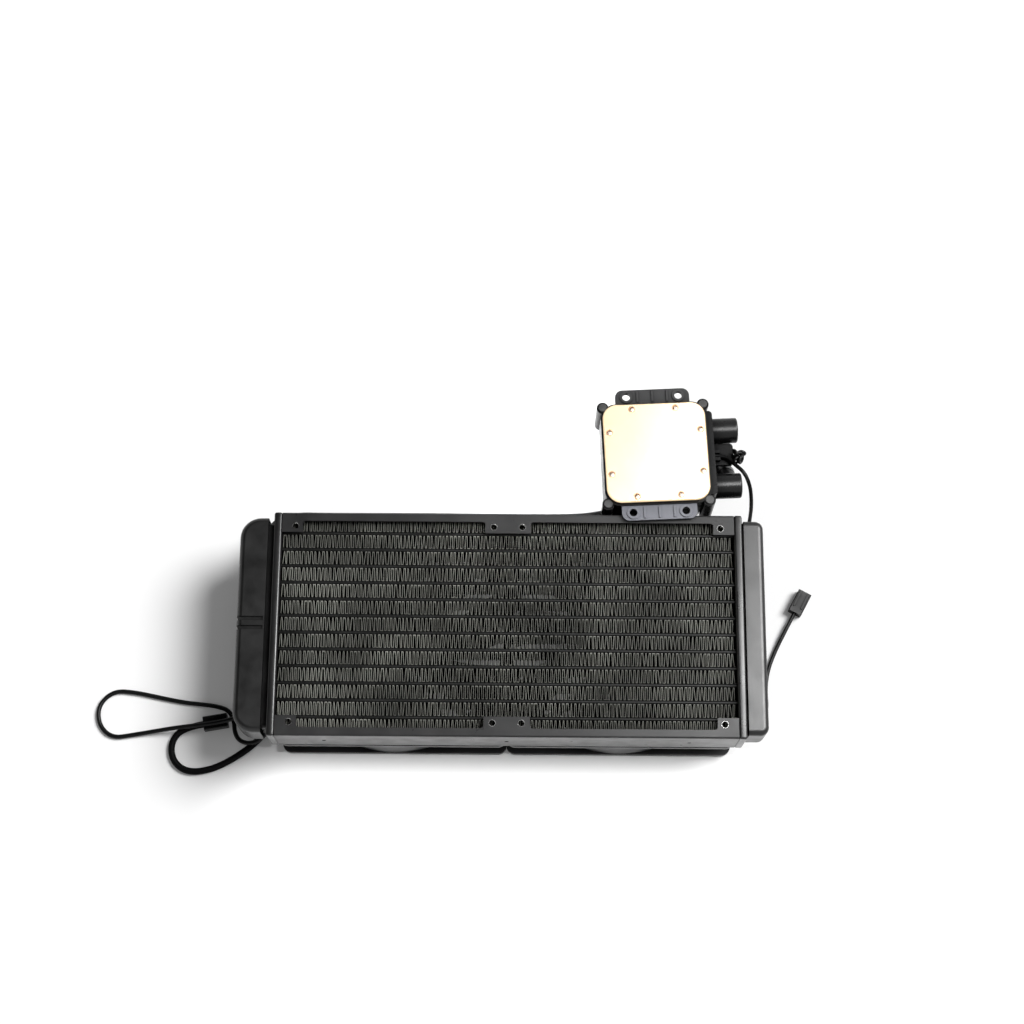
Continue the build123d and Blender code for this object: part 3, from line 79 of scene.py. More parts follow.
def radiator_middle() -> Vector:
    """The point on the table under the radiator's middle, in the row frame.

    Returns:
        The point.
    """
    low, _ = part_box("side_rail_front")
    _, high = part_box("side_rail_back")
    return Vector(((low.x + high.x) / 2, (low.y + high.y) / 2, 0.0))


def new_object(name: str, data: bpy.types.ID) -> bpy.types.Object:
    """Makes an object and links it to the scene.

    Args:
        name: The object's name.
        data: Its mesh, curve, lamp or camera.

    Returns:
        The object.
    """
    thing = bpy.data.objects.new(name, data)
    bpy.context.scene.collection.objects.link(thing)
    return thing


def evaluated_mesh(thing: bpy.types.Object) -> bpy.types.Mesh:
    """The mesh that an object's modifiers make."""
    return bpy.data.meshes.new_from_object(thing.evaluated_get(bpy.context.evaluated_depsgraph_get()))


def mesh_from(name: str, bm: bmesh.types.BMesh) -> bpy.types.Mesh:
    """Turns an edit mesh into a mesh and frees it.

    Args:
        name: The mesh's name.
        bm: The edit mesh.

    Returns:
        The mesh.
    """
    mesh = bpy.data.meshes.new(name)
    bm.to_mesh(mesh)
    bm.free()
    return mesh


def level_ring(bm: bmesh.types.BMesh, radius: float, z: float, sides: int,
               centre: Vector = Vector((0.0, 0.0, 0.0))) -> Ring:
    """Adds one level ring of corners.

    Args:
        bm: The edit mesh.
        radius: The ring's radius.
        z: Its height over the centre.
        sides: The number of corners.
        centre: Its centre.

    Returns:
        The corners in order.
    """
    turns = [k * math.tau / sides for k in range(sides)]
    return [bm.verts.new(centre + Vector((radius * math.cos(a), radius * math.sin(a), z))) for a in turns]


def skin(bm: bmesh.types.BMesh, low: Ring, high: Ring) -> None:
    """Joins two rings with a band of faces.

    Args:
        bm: The edit mesh.
        low: The first ring.
        high: The second ring.
    """
    for k in range(len(low)):
        n = (k + 1) % len(low)
        bm.faces.new((low[k], low[n], high[n], high[k]))


def pick(sockets: bpy.types.bpy_prop_collection, name: str, kind: str) -> Socket:
    """The socket of one name and type."""
    return next(s for s in sockets if s.name == name and s.type == kind)


class ShaderTree:
    """A material's node tree, built from left to right."""

    def __init__(self, name: str) -> None:
        """Starts an empty tree with a shader and an output.

        Args:
            name: The material's name.
        """
        self.material = bpy.data.materials.new(name)
        self.material.use_nodes = True
        self.nodes = self.material.node_tree.nodes
        self.links = self.material.node_tree.links
        self.nodes.clear()
        self.output = self.nodes.new("ShaderNodeOutputMaterial")
        self.shader = self.nodes.new("ShaderNodeBsdfPrincipled")
        self.links.new(self.shader.outputs["BSDF"], self.output.inputs["Surface"])

    def place(self, scale: Point = (1.0, 1.0, 1.0)) -> Socket:
        """Object coordinates, stretched.

        Args:
            scale: The factor for each axis.

        Returns:
            The vector socket.
        """
        where = self.nodes.new("ShaderNodeTexCoord")
        mapping = self.nodes.new("ShaderNodeMapping")
        mapping.inputs["Scale"].default_value = scale
        self.links.new(where.outputs["Object"], mapping.inputs["Vector"])
        return mapping.outputs["Vector"]

    def noise(self, vector: Socket, scale: float, detail: float = 3.0) -> Socket:
        """A noise pattern.

        Args:
            vector: The coordinates.
            scale: The pattern's scale, per metre.
            detail: The number of octaves.

        Returns:
            The factor socket.
        """
        noise = self.nodes.new("ShaderNodeTexNoise")
        noise.inputs["Scale"].default_value = scale
        noise.inputs["Detail"].default_value = detail
        self.links.new(vector, noise.inputs["Vector"])
        return noise.outputs["Fac"]

    def spread(self, factor: Socket, low: float, high: float,
               start: float = 0.3, end: float = 0.7) -> Socket:
        """Maps a pattern to a range of numbers.

        Args:
            factor: The pattern.
            low: The number where the pattern is at start.
            high: The number where it is at end.
            start: The pattern's low end.
            end: The pattern's high end.

        Returns:
            The number's socket.
        """
        node = self.nodes.new("ShaderNodeMapRange")
        node.inputs["From Min"].default_value = start
        node.inputs["From Max"].default_value = end
        node.inputs["To Min"].default_value = low
        node.inputs["To Max"].default_value = high
        self.links.new(factor, node.inputs["Value"])
        return node.outputs["Result"]

    def blend(self, factor: Socket, first: Colour | Socket,
              second: Colour | Socket) -> Socket:
        """Mixes two colours.

        Args:
            factor: The share of the second colour.
            first: The first colour, or its socket.
            second: The second colour, or its socket.

        Returns:
            The colour socket.
        """
        mix = self.nodes.new("ShaderNodeMix")
        mix.data_type = "RGBA"
        self.links.new(factor, mix.inputs["Factor"])
        for name, value in (("A", first), ("B", second)):
            socket = pick(mix.inputs, name, "RGBA")
            if isinstance(value, tuple):
                socket.default_value = (*value, 1.0)
            else:
                self.links.new(value, socket)
        return pick(mix.outputs, "Result", "RGBA")

    def crevice(self, reach: float) -> Socket:
        """How open the surface lies: one in the open, less in grooves and corners.

        Args:
            reach: How far off a wall still counts, in metres.

        Returns:
            The factor socket.
        """
        node = self.nodes.new("ShaderNodeAmbientOcclusion")
        node.samples = 4
        node.inputs["Distance"].default_value = reach
        return node.outputs["AO"]

    def bump(self, height: Socket, distance: float) -> None:
        """Gives the shader a relief.

        Args:
            height: The relief's pattern.
            distance: Its full height in metres.
        """
        bump = self.nodes.new("ShaderNodeBump")
        bump.inputs["Distance"].default_value = distance
        bump.inputs["Strength"].default_value = 1.0
        self.links.new(height, bump.inputs["Height"])
        self.links.new(bump.outputs["Normal"], self.shader.inputs["Normal"])


@dataclass(frozen=True)
class Finish:
    """A painted, moulded or metal surface with uneven tone and gloss, a fine relief, and painted shade in
    its crevices on the reflections and, where depth is set, on the colour.
    """

    name: str
    colour: Colour
    roughness: float
    metallic: float = 0.0
    specular: float = 0.5
    tone: float = 0.25
    tone_scale: float = 45.0
    gloss: float = 0.08
    grain_scale: float = 2600.0
    grain_height: float = 0.000008
    relief: Relief = Relief.GRAIN
    # How far off a wall the painted crevice shade reaches, in metres.
    crevice: float = 0.008
    # How far the colour goes towards black in crevices: painted shade.
    depth: float = 0.0
    speck: float = 0.0
    speck_colour: Colour = (0.3, 0.3, 0.3)

    def material(self) -> bpy.types.Material:
        """The finish's material, made once and then shared.

        Returns:
            The material.
        """
        made = bpy.data.materials.get(f"{self.name}_finish")
        if made is not None:
            return made
        tree = ShaderTree(f"{self.name}_finish")
        plain = tree.place()
        fine = tree.place((BRUSH_STRETCH if self.relief is Relief.BRUSHED else 1.0, 1.0, 1.0))
        dark = tuple(c * (1.0 - self.tone) for c in self.colour)
        light = tuple(min(c * (1.0 + self.tone), 1.0) for c in self.colour)
        colour = tree.blend(tree.spread(tree.noise(plain, self.tone_scale, 4.0), 0.0, 1.0), dark, light)
        if self.speck:
            dust = tree.noise(plain, SPECK_SCALE, 2.0)
            colour = tree.blend(tree.spread(dust, 0.0, self.speck, *SPECK_RANGE), colour, self.speck_colour)
        shade = tree.crevice(self.crevice) if self.metallic < 1.0 else None
        # Painted shade on the colour: darker towards black where ambient occlusion finds a crevice.
        if self.depth:
            unshaded_share = tree.spread(shade, 1.0 - self.depth, 1.0, *CREVICE_SHADE_RANGE)
            colour = tree.blend(unshaded_share, (0.0, 0.0, 0.0), colour)
        tree.links.new(colour, tree.shader.inputs["Base Color"])
        tree.shader.inputs["Metallic"].default_value = self.metallic
        # Painted shade on the reflections: the specular level drops where ambient occlusion finds a crevice.
        if shade is not None:
            shaded_shine = tree.spread(shade, 0.0, self.specular, *SHADED_SHINE_RANGE)
            tree.links.new(shaded_shine, tree.shader.inputs["Specular IOR Level"])
        smudge = tree.noise(plain, self.tone_scale * SMUDGE_RATIO, 5.0)
        rough = tree.spread(smudge, self.roughness - self.gloss, self.roughness + self.gloss)
        tree.links.new(rough, tree.shader.inputs["Roughness"])
        tree.bump(tree.noise(fine, self.grain_scale, 2.0), self.grain_height)
        return tree.material

    def dress(self, *names: str) -> None:
        """Gives the finish to CAD nodes.

        Args:
            names: The nodes' names.
        """
        for name in names:
            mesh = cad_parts[name].data
            mesh.materials.clear()
            mesh.materials.append(self.material())

    def cover(self, piece: bpy.types.Object) -> None:
        """Gives the finish to a piece of the scene.

        Args:
            piece: The piece.
        """
        piece.data.materials.clear()
        piece.data.materials.append(self.material())


RADIATOR_PAINT = Finish("radiator_paint", (0.021, 0.021, 0.0213), 0.32, specular=0.20, gloss=0.05)
HEADER_PAINT = Finish("header_paint", (0.006, 0.006, 0.0061), 0.30, specular=0.42, gloss=0.04)
TANK_PAINT = Finish("tank_paint", (0.006, 0.006, 0.0060), 0.33, specular=0.40, gloss=0.05)
TUBE_PAINT = Finish("tube_paint", (0.004, 0.0042, 0.004), 0.36, specular=0.20, tone=0.35, gloss=0.10)
# The fins' depth paints shade into their colour down between the folds.
FIN_PAINT = Finish("fin_paint", (0.33, 0.334, 0.298), 0.36, tone=0.50, tone_scale=34.0, gloss=0.12,
                   grain_scale=3200.0, depth=0.80, speck=0.25, speck_colour=(0.32, 0.33, 0.29))
FAN_PLASTIC = Finish("fan_plastic", (0.011, 0.011, 0.0115), 0.42, specular=0.35, gloss=0.05)
BLADE_PLASTIC = Finish("blade_plastic", (0.013, 0.013, 0.014), 0.42, gloss=0.05)
COPPER = Finish("ground_copper", (0.93, 0.72, 0.46), 0.19, metallic=1.0, tone=0.02, tone_scale=60.0,
                gloss=0.008, grain_scale=5200.0, grain_height=0.000006, relief=Relief.BRUSHED)
PUMP_PLASTIC = Finish("pump_plastic", (0.003, 0.003, 0.0032), 0.26, specular=0.14, gloss=0.06)
ELBOW_PLASTIC = Finish("elbow_plastic", (0.005, 0.005, 0.0052), 0.28, specular=0.24, gloss=0.05)
EAR_METAL = Finish("ear_metal", (0.070, 0.072, 0.084), 0.32, metallic=0.35, tone=0.18, gloss=0.06)
EAR_BLACK = Finish("ear_black", (0.008, 0.008, 0.0085), 0.34, specular=0.3, tone=0.18, gloss=0.06)
SCREW_STEEL = Finish("screw_steel", (0.40, 0.35, 0.30), 0.28, metallic=1.0, tone=0.2, tone_scale=300.0)
# Painted shade: this dark copper ring round each plate screw stands in for the shade of its sunken seat.
SCREW_WELL_SHADE = Finish("burnt_copper", (0.34, 0.21, 0.13), 0.36, metallic=1.0, tone=0.35, tone_scale=420.0)
BARE_THREAD = Finish("bare_thread", (0.34, 0.34, 0.335), 0.26, metallic=1.0, tone=0.1, tone_scale=300.0)
BLACK_SCREW = Finish("black_screw", (0.03, 0.03, 0.03), 0.34, metallic=0.8, tone=0.3, tone_scale=300.0)
SHAFT_STEEL = Finish("shaft_steel", (0.62, 0.62, 0.61), 0.22, metallic=1.0, relief=Relief.BRUSHED)
BRONZE = Finish("sleeve_bronze", (0.50, 0.33, 0.17), 0.38, metallic=1.0, speck=0.2,
                speck_colour=(0.12, 0.08, 0.05))
FERRITE = Finish("ferrite", (0.06, 0.058, 0.056), 0.62)
LAMINATION = Finish("lamination_steel", (0.30, 0.30, 0.31), 0.42, metallic=0.9, grain_scale=1600.0,
                    relief=Relief.BRUSHED)
BOARD_LACQUER = Finish("board_lacquer", (0.015, 0.09, 0.045), 0.26, tone_scale=260.0, tone=0.3)
SEAL_RUBBER = Finish("seal_rubber", (0.014, 0.014, 0.014), 0.66)
WHEEL_PLASTIC = Finish("wheel_plastic", (0.70, 0.69, 0.65), 0.46, tone=0.06)
HOSE_RUBBER = Finish("hose_rubber", (0.004, 0.004, 0.004), 0.50, specular=0.10, gloss=0.07)
CLAMP_METAL = Finish("clamp_metal", (0.035, 0.035, 0.036), 0.32, metallic=0.85, relief=Relief.BRUSHED)
LEAD_JACKET = Finish("lead_jacket", (0.004, 0.004, 0.0042), 0.34, specular=0.12, gloss=0.06)
LEAD_SLEEVE = Finish("lead_sleeve", (0.0035, 0.0035, 0.0037), 0.50, specular=0.03, gloss=0.08,
                     grain_scale=1500.0, grain_height=0.00006)
CONNECTOR = Finish("connector_plastic", (0.004, 0.004, 0.0042), 0.30, specular=0.16)

NODE_FINISHES: tuple[tuple[Finish, tuple[str, ...]], ...] = (
    (RADIATOR_PAINT, ("side_rail_front", "side_rail_back", "header_left", "header_right")),
    (TANK_PAINT, ("tank_left", "tank_right", "tank_baffle", "port_back", "port_front")),
    (TUBE_PAINT, ("flat_tubes",)),
    (FIN_PAINT, ("fin_rows",)),
    (FAN_PLASTIC, ("fan_left_frame", "fan_right_frame")),
    (BLADE_PLASTIC, ("fan_left_rotor", "fan_right_rotor")),
    (FERRITE, ("fan_left_magnet", "fan_right_magnet")),
    (SHAFT_STEEL, ("fan_left_shaft", "fan_right_shaft", "impeller_shaft")),
    (BRONZE, ("fan_left_sleeve", "fan_right_sleeve")),
    (LAMINATION, ("fan_left_stator", "fan_right_stator", "pump_stator")),
    (BOARD_LACQUER, ("fan_left_board", "fan_right_board", "pump_board")),
    (BLACK_SCREW, ("fan_screws", "housing_screws")),
    (COPPER, ("cold_plate",)),
    (SCREW_STEEL, ("plate_screws",)),
    (SEAL_RUBBER, ("plate_seal",)),
    (PUMP_PLASTIC, ("pump_housing", "pump_cap")),
    (WHEEL_PLASTIC, ("impeller",)),
    (EAR_METAL, ("ear_front",)),
    (EAR_BLACK, ("ear_back",)),
    (ELBOW_PLASTIC, ("elbow_back", "elbow_front")),
    (CLAMP_METAL, ("hose_clamps",)),
    (HOSE_RUBBER, ("hose_upper", "hose_lower")),
    (LEAD_JACKET, ("lead_left_fan", "lead_pump")),
    (LEAD_SLEEVE, ("lead_right_fan",)),
    (CONNECTOR, ("plug_left_fan", "plug_right_fan", "plug_pump", "cable_tie")),
)


@dataclass
class Camera:
    """The camera that took the photograph, placed about the radiator's middle."""

    x: float = -0.00015
    y: float = -0.24328
    z: float = 1.07161
    tilt: float = 0.2905
    yaw: float = -0.0070
    roll: float = 0.0141
    focal_pixels: float = 2000.0
    picture_pixels: float = 1024.0
    sensor_mm: float = 36.0

    def build(self) -> None:
        """Makes the camera and sets it as the scene's."""
        data = bpy.data.cameras.new("photo_camera")
        data.sensor_width = self.sensor_mm
        data.lens = self.focal_pixels / self.picture_pixels * self.sensor_mm
        camera = new_object("photo_camera", data)
        turn = (Matrix.Rotation(self.yaw, 4, "Z") @ Matrix.Rotation(self.tilt, 4, "X")
                @ Matrix.Rotation(self.roll, 4, "Z"))
        camera.matrix_world = Matrix.Translation(radiator_middle() + Vector((self.x, self.y, self.z))) @ turn
        bpy.context.scene.camera = camera


@dataclass
class Studio:
    """Soft lamps, a white surround and a pale floor; their places count from the radiator's middle."""

    ambient: float = 0.22
    key_power: float = 4.0
    key_elevation: float = 50.0
    key_azimuth: float = 24.0
    key_softness: float = 30.0
    floor_size: float = 14.0
    floor_tone: float = 0.82
    floor_unevenness: float = 1.01
    floor_pattern: float = 9.0
    floor_glow: float = 0.06
    cards: tuple[tuple[str, Point, Span, float], ...] = (
        ("bright_card", (0.46, 0.09, 1.20), (0.50, 0.48), 17.0),
        ("plate_card", (0.368, 0.47, 1.20), (0.35, 0.26), 0.72))
    dark_x: Span = (-1.5, -0.08)
    dark_y: Span = (-0.8, 1.4)
    dark_height: float = 0.9
    dark_tones: Span = (0.002, 0.004)
    dark_pattern: float = 30.0
    fill_place: Point = (-0.12, 0.30, 0.95)
    fill_aim: Point = (0.020, 0.098, 0.0)
    fill_angle: float = 0.16
    fill_radius: float = 0.05
    fill_power: float = 75.0
    strip_place: Point = (0.0, -0.092, 0.9)
    strip_size: Span = (0.27, 0.02)
    strip_spread: float = 5.0
    strip_power: float = 0.06

    def hang(self, data: bpy.types.Light, place: Vector, aim: Vector) -> bpy.types.Object:
        """Places a lamp and turns it to what it lights.

        Args:
            data: The lamp's data.
            place: Where it stands.
            aim: The point it faces.

        Returns:
            The lamp's object.
        """
        lamp = new_object(data.name, data)
        lamp.location = radiator_middle() + place
        lamp.rotation_euler = (aim - place).to_track_quat("-Z", "Y").to_euler()
        return lamp

    def card(self, name: str, place: Point, size: Span, power: float) -> bpy.types.Object:
        """Makes one rectangular lamp that faces straight down.

        Args:
            name: The lamp's name.
            place: Where it stands.
            size: Its width and height in metres.
            power: Its power in watts.

        Returns:
            The lamp's object.
        """
        data = bpy.data.lights.new(name, "AREA")
        data.shape = "RECTANGLE"
        data.size, data.size_y = size
        data.energy = power
        return self.hang(data, Vector(place), Vector((*place[:2], 0.0)))

    def surround(self) -> None:
        """A white surround, plain white to the camera and a softer light on the object."""
        world = bpy.data.worlds.new("surround")
        bpy.context.scene.world = world
        world.use_nodes = True
        nodes, links = world.node_tree.nodes, world.node_tree.links
        background = next(node for node in nodes if node.type == "BACKGROUND")
        background.inputs["Color"].default_value = (1.0, 1.0, 1.0, 1.0)
        level = nodes.new("ShaderNodeMapRange")
        level.inputs["To Min"].default_value = self.ambient
        level.inputs["To Max"].default_value = 1.0
        links.new(self.seen(nodes, links), level.inputs["Value"])
        links.new(level.outputs["Result"], background.inputs["Strength"])

    def seen(self, nodes: bpy.types.Nodes, links: bpy.types.NodeLinks) -> Socket:
        """One where the camera, a reflection or clear plastic looks, and zero for light on surfaces.

        Args:
            nodes: The tree's nodes.
            links: The tree's links.

        Returns:
            The number's socket.
        """
        path = nodes.new("ShaderNodeLightPath")
        total = path.outputs["Is Camera Ray"]
        for name in ("Is Glossy Ray", "Is Transmission Ray"):
            add = nodes.new("ShaderNodeMath")
            add.operation = "MAXIMUM"
            links.new(total, add.inputs[0])
            links.new(path.outputs[name], add.inputs[1])
            total = add.outputs[0]
        return total

    def sheet(self, name: str, x: Span, y: Span, tree: ShaderTree) -> bpy.types.Object:
        """Makes a flat, dull sheet that belongs to the studio.

        Args:
            name: The sheet's name.
            x: Its left and right edge.
            y: Its front and back edge.
            tree: Its material's tree.

        Returns:
            The sheet's object.
        """
        tree.shader.inputs["Roughness"].default_value = 1.0
        tree.shader.inputs["Specular IOR Level"].default_value = 0.0
        mesh = bpy.data.meshes.new(name)
        corners = [(x[0], y[0], 0), (x[1], y[0], 0), (x[1], y[1], 0), (x[0], y[1], 0)]
        mesh.from_pydata(corners, [], [(0, 1, 2, 3)])
        mesh.materials.append(tree.material)
        sheet = new_object(name, mesh)
        return sheet

    def floor(self) -> None:
        """Makes a pale floor with a little glow of its own to the camera."""
        tree = ShaderTree("floor_white")
        paper = tree.spread(tree.noise(tree.place(), self.floor_pattern, 2.0), 0.0, 1.0)
        tone, light = self.floor_tone, self.floor_tone * self.floor_unevenness
        colour = tree.blend(paper, (tone, tone, tone), (light, light, light))
        tree.links.new(colour, tree.shader.inputs["Base Color"])
        tree.shader.inputs["Emission Color"].default_value = (1.0, 1.0, 1.0, 1.0)
        glow = tree.spread(self.seen(tree.nodes, tree.links), 0.0, self.floor_glow, 0.0, 1.0)
        tree.links.new(glow, tree.shader.inputs["Emission Strength"])
        half = self.floor_size / 2
        self.sheet("floor", (-half, half), (-half, half), tree)

    def dark_card(self) -> None:
        """Makes a dark card that only reflections see, so that the left half stays deep black."""
        tree = ShaderTree("card_black")
        low, high = self.dark_tones
        felt = tree.blend(tree.noise(tree.place(), self.dark_pattern), (low, low, low), (high, high, high))
        tree.links.new(felt, tree.shader.inputs["Base Color"])
        card = self.sheet("dark_card", self.dark_x, self.dark_y, tree)
        card.location = radiator_middle() + Vector((0.0, 0.0, self.dark_height))
        card.visible_camera = False
        card.visible_diffuse = False
        card.visible_shadow = False
        card.visible_transmission = False

    def sun(self) -> None:
        """Makes the soft key light from the right, the same over the whole floor."""
        data = bpy.data.lights.new("key_light", "SUN")
        data.energy = self.key_power
        data.angle = math.radians(self.key_softness)
        elevation, azimuth = math.radians(self.key_elevation), math.radians(self.key_azimuth)
        place = Vector((math.cos(elevation) * math.cos(azimuth), math.cos(elevation) * math.sin(azimuth),
                        math.sin(elevation)))
        self.hang(data, place, Vector((0.0, 0.0, 0.0)))

    def fill(self) -> None:
        """Makes the soft spot that lights the floor beside the pump and behind the radiator."""
        data = bpy.data.lights.new("fill_behind", "SPOT")
        data.energy = self.fill_power
        data.spot_size = self.fill_angle
        data.spot_blend = 1.0
        data.shadow_soft_size = self.fill_radius
        self.hang(data, Vector(self.fill_place), Vector(self.fill_aim)).visible_glossy = False

    def build(self) -> None:
        """Makes the surround, the floor and the lamps."""
        bpy.context.scene.view_settings.view_transform = "Standard"
        self.surround()
        self.floor()
        self.sun()
        for card in self.cards:
            self.card(*card).visible_diffuse = False
        self.dark_card()
        self.fill()
        strip = self.card("front_strip", self.strip_place, self.strip_size, self.strip_power)
        strip.data.spread = math.radians(self.strip_spread)
        strip.visible_glossy = False
        log.info("studio: %d lamps", len(bpy.data.lights))


@dataclass
class Cord:
    """A hose or lead on the route of its CAD tube, as one smooth curve."""

    node: str
    name: str
    route: tuple[Point, ...]
    length: float
    diameter: float
    far_end: str
    stiffness: str
    finish: Finish
    slot: str
    pieces: tuple[str, ...] = ()
    lay: str = "loose"

    def build(self) -> None:
        curve = bpy.data.curves.new(self.name, "CURVE")
        curve.dimensions = "3D"
        curve.bevel_depth = self.diameter / 2
        curve.bevel_resolution = 5
        curve.resolution_u = 8
        curve.use_fill_caps = True
        spline = curve.splines.new("NURBS")
        spline.points.add(len(self.route) - 1)
        middle = radiator_middle()
        for point, place in zip(spline.points, self.route):
            point.co = (*(middle + Vector(place)), 1.0)
        spline.order_u = 3
        spline.use_endpoint_u = True
        cord = new_object(self.name, curve)
        self.finish.cover(cord)
        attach(cord, BODY)
        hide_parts(self.node)


UPPER_HOSE_ROUTE: tuple[Point, ...] = (
    (0.11666, 0.11094, 0.0337), (0.11666, 0.11094, 0.0239), (0.1094, 0.1086, 0.0168),
    (0.096, 0.102, 0.0168), (0.08, 0.0875, 0.0168), (0.066, 0.0735, 0.0168),
    (0.048, 0.0659, 0.0168), (0.005, 0.0658, 0.0168), (-0.05, 0.0659, 0.0168),
    (-0.098, 0.0655, 0.0168), (-0.1185, 0.0659, 0.0168), (-0.1284, 0.0604, 0.0168),
    (-0.1315, 0.0482, 0.0168), (-0.1315, 0.031, 0.0168),
)
LOWER_HOSE_ROUTE: tuple[Point, ...] = (
    (0.11789, 0.0865, 0.03657), (0.1175, 0.09427, 0.02879), (0.1166, 0.0978, 0.0175),
    (0.109, 0.0966, 0.0086), (0.096, 0.0926, 0.0055), (0.08, 0.0825, 0.0055),
    (0.065, 0.072, 0.0055), (0.047, 0.0658, 0.0055), (0.005, 0.0653, 0.0055),
    (-0.052, 0.0659, 0.0055), (-0.098, 0.0654, 0.0055), (-0.1183, 0.0665, 0.0055),
    (-0.1286, 0.0602, 0.0055), (-0.1319, 0.048, 0.0055), (-0.1315, 0.027, 0.0055),
    (-0.1315, -0.013, 0.0055),
)
LEFT_LEAD_ROUTE: tuple[Point, ...] = (
    (-0.1104, -0.036, 0.018), (-0.11864, -0.03701, 0.018), (-0.13, -0.0394, 0.0162),
    (-0.142, -0.0422, 0.013), (-0.153, -0.0446, 0.0102), (-0.165, -0.0462, 0.0085),
    (-0.177, -0.0472, 0.0064), (-0.189, -0.0486, 0.003), (-0.201, -0.0504, 0.0013),
    (-0.213, -0.0524, 0.0013), (-0.2206, -0.0454, 0.0013), (-0.2216, -0.0344, 0.0013),
    (-0.2136, -0.0264, 0.0013), (-0.202, -0.0272, 0.0013), (-0.1885, -0.03, 0.0013),
    (-0.1755, -0.0326, 0.0013), (-0.1655, -0.0336, 0.0014), (-0.157, -0.0346, 0.0015),
    (-0.1504, -0.0369, 0.0018), (-0.1473, -0.043, 0.0026), (-0.1468, -0.0486, 0.0038),
    (-0.1442, -0.0538, 0.005), (-0.1384, -0.0557, 0.0056), (-0.1325, -0.0538, 0.0063),
    (-0.1288, -0.0491, 0.0067), (-0.1281, -0.0426, 0.0067),
)
RIGHT_LEAD_ROUTE: tuple[Point, ...] = (
    (0.0222, 0.0476, 0.0196), (0.00948, 0.05555, 0.0196), (0.0005, 0.0602, 0.0213),
    (-0.0095, 0.0634, 0.0239), (-0.021, 0.0654, 0.0238), (-0.038, 0.0658, 0.0238),
    (-0.066, 0.0653, 0.0238), (-0.097, 0.066, 0.0238), (-0.1145, 0.065, 0.0238),
    (-0.125, 0.0584, 0.0238), (-0.1274, 0.047, 0.0232), (-0.123, 0.0372, 0.0176),
    (-0.1229, 0.0254, 0.0096), (-0.1231, 0.013, 0.003), (-0.1229, -0.008, 0.0019),
    (-0.1231, -0.028, 0.0019), (-0.1254, -0.042, 0.0019), (-0.134, -0.0536, 0.0019),
    (-0.1463, -0.063, 0.0019), (-0.1583, -0.0692, 0.0019), (-0.1712, -0.0709, 0.0019),
    (-0.1794, -0.0651, 0.0019), (-0.1812, -0.0551, 0.0019), (-0.1754, -0.0469, 0.0029),
    (-0.1636, -0.0448, 0.0029),
)
PUMP_LEAD_ROUTE: tuple[Point, ...] = (
    (0.11028, 0.0964, 0.044), (0.11707, 0.09675, 0.044), (0.1218, 0.0912, 0.046),
    (0.127, 0.086, 0.0476), (0.1302, 0.0796, 0.044), (0.1316, 0.0744, 0.0365),
    (0.1324, 0.0706, 0.0275), (0.1326, 0.0674, 0.0175), (0.132, 0.0615, 0.0085),
    (0.1306, 0.053, 0.0026), (0.1294, 0.042, 0.00115), (0.128, 0.022, 0.00115),
    (0.1274, -0.002, 0.00115), (0.1268, -0.022, 0.00115), (0.1266, -0.0361, 0.00115),
    (0.1309, -0.0404, 0.00115), (0.1371, -0.0404, 0.00115), (0.1414, -0.0361, 0.00115),
    (0.1407, -0.022, 0.00115), (0.1426, -0.0115, 0.00115), (0.1468, -0.0014, 0.0015),
    (0.1516, 0.008, 0.0029), (0.1576, 0.0192, 0.0029),
)

CORDS: tuple[Cord, ...] = (
    Cord("hose_upper", "upper_hose", UPPER_HOSE_ROUTE, 0.3013, 0.010, "object", "medium", HOSE_RUBBER,
         "hose_rubber"),
    Cord("hose_lower", "lower_hose", LOWER_HOSE_ROUTE, 0.3535, 0.010, "object", "medium", HOSE_RUBBER,
         "hose_rubber"),
    Cord("lead_left_fan", "left_fan_lead", LEFT_LEAD_ROUTE, 0.2426, 0.0024, "connector", "limp", LEAD_JACKET,
         "lead_jacket", ("plug_left_fan",)),
    Cord("lead_right_fan", "right_fan_lead", RIGHT_LEAD_ROUTE, 0.3556, 0.0036, "connector", "limp",
         LEAD_SLEEVE, "lead_jacket", ("plug_right_fan",)),
    Cord("lead_pump", "pump_lead", PUMP_LEAD_ROUTE, 0.2448, 0.0021, "connector", "limp", LEAD_JACKET,
         "lead_jacket", ("plug_pump", "cable_tie")),
)


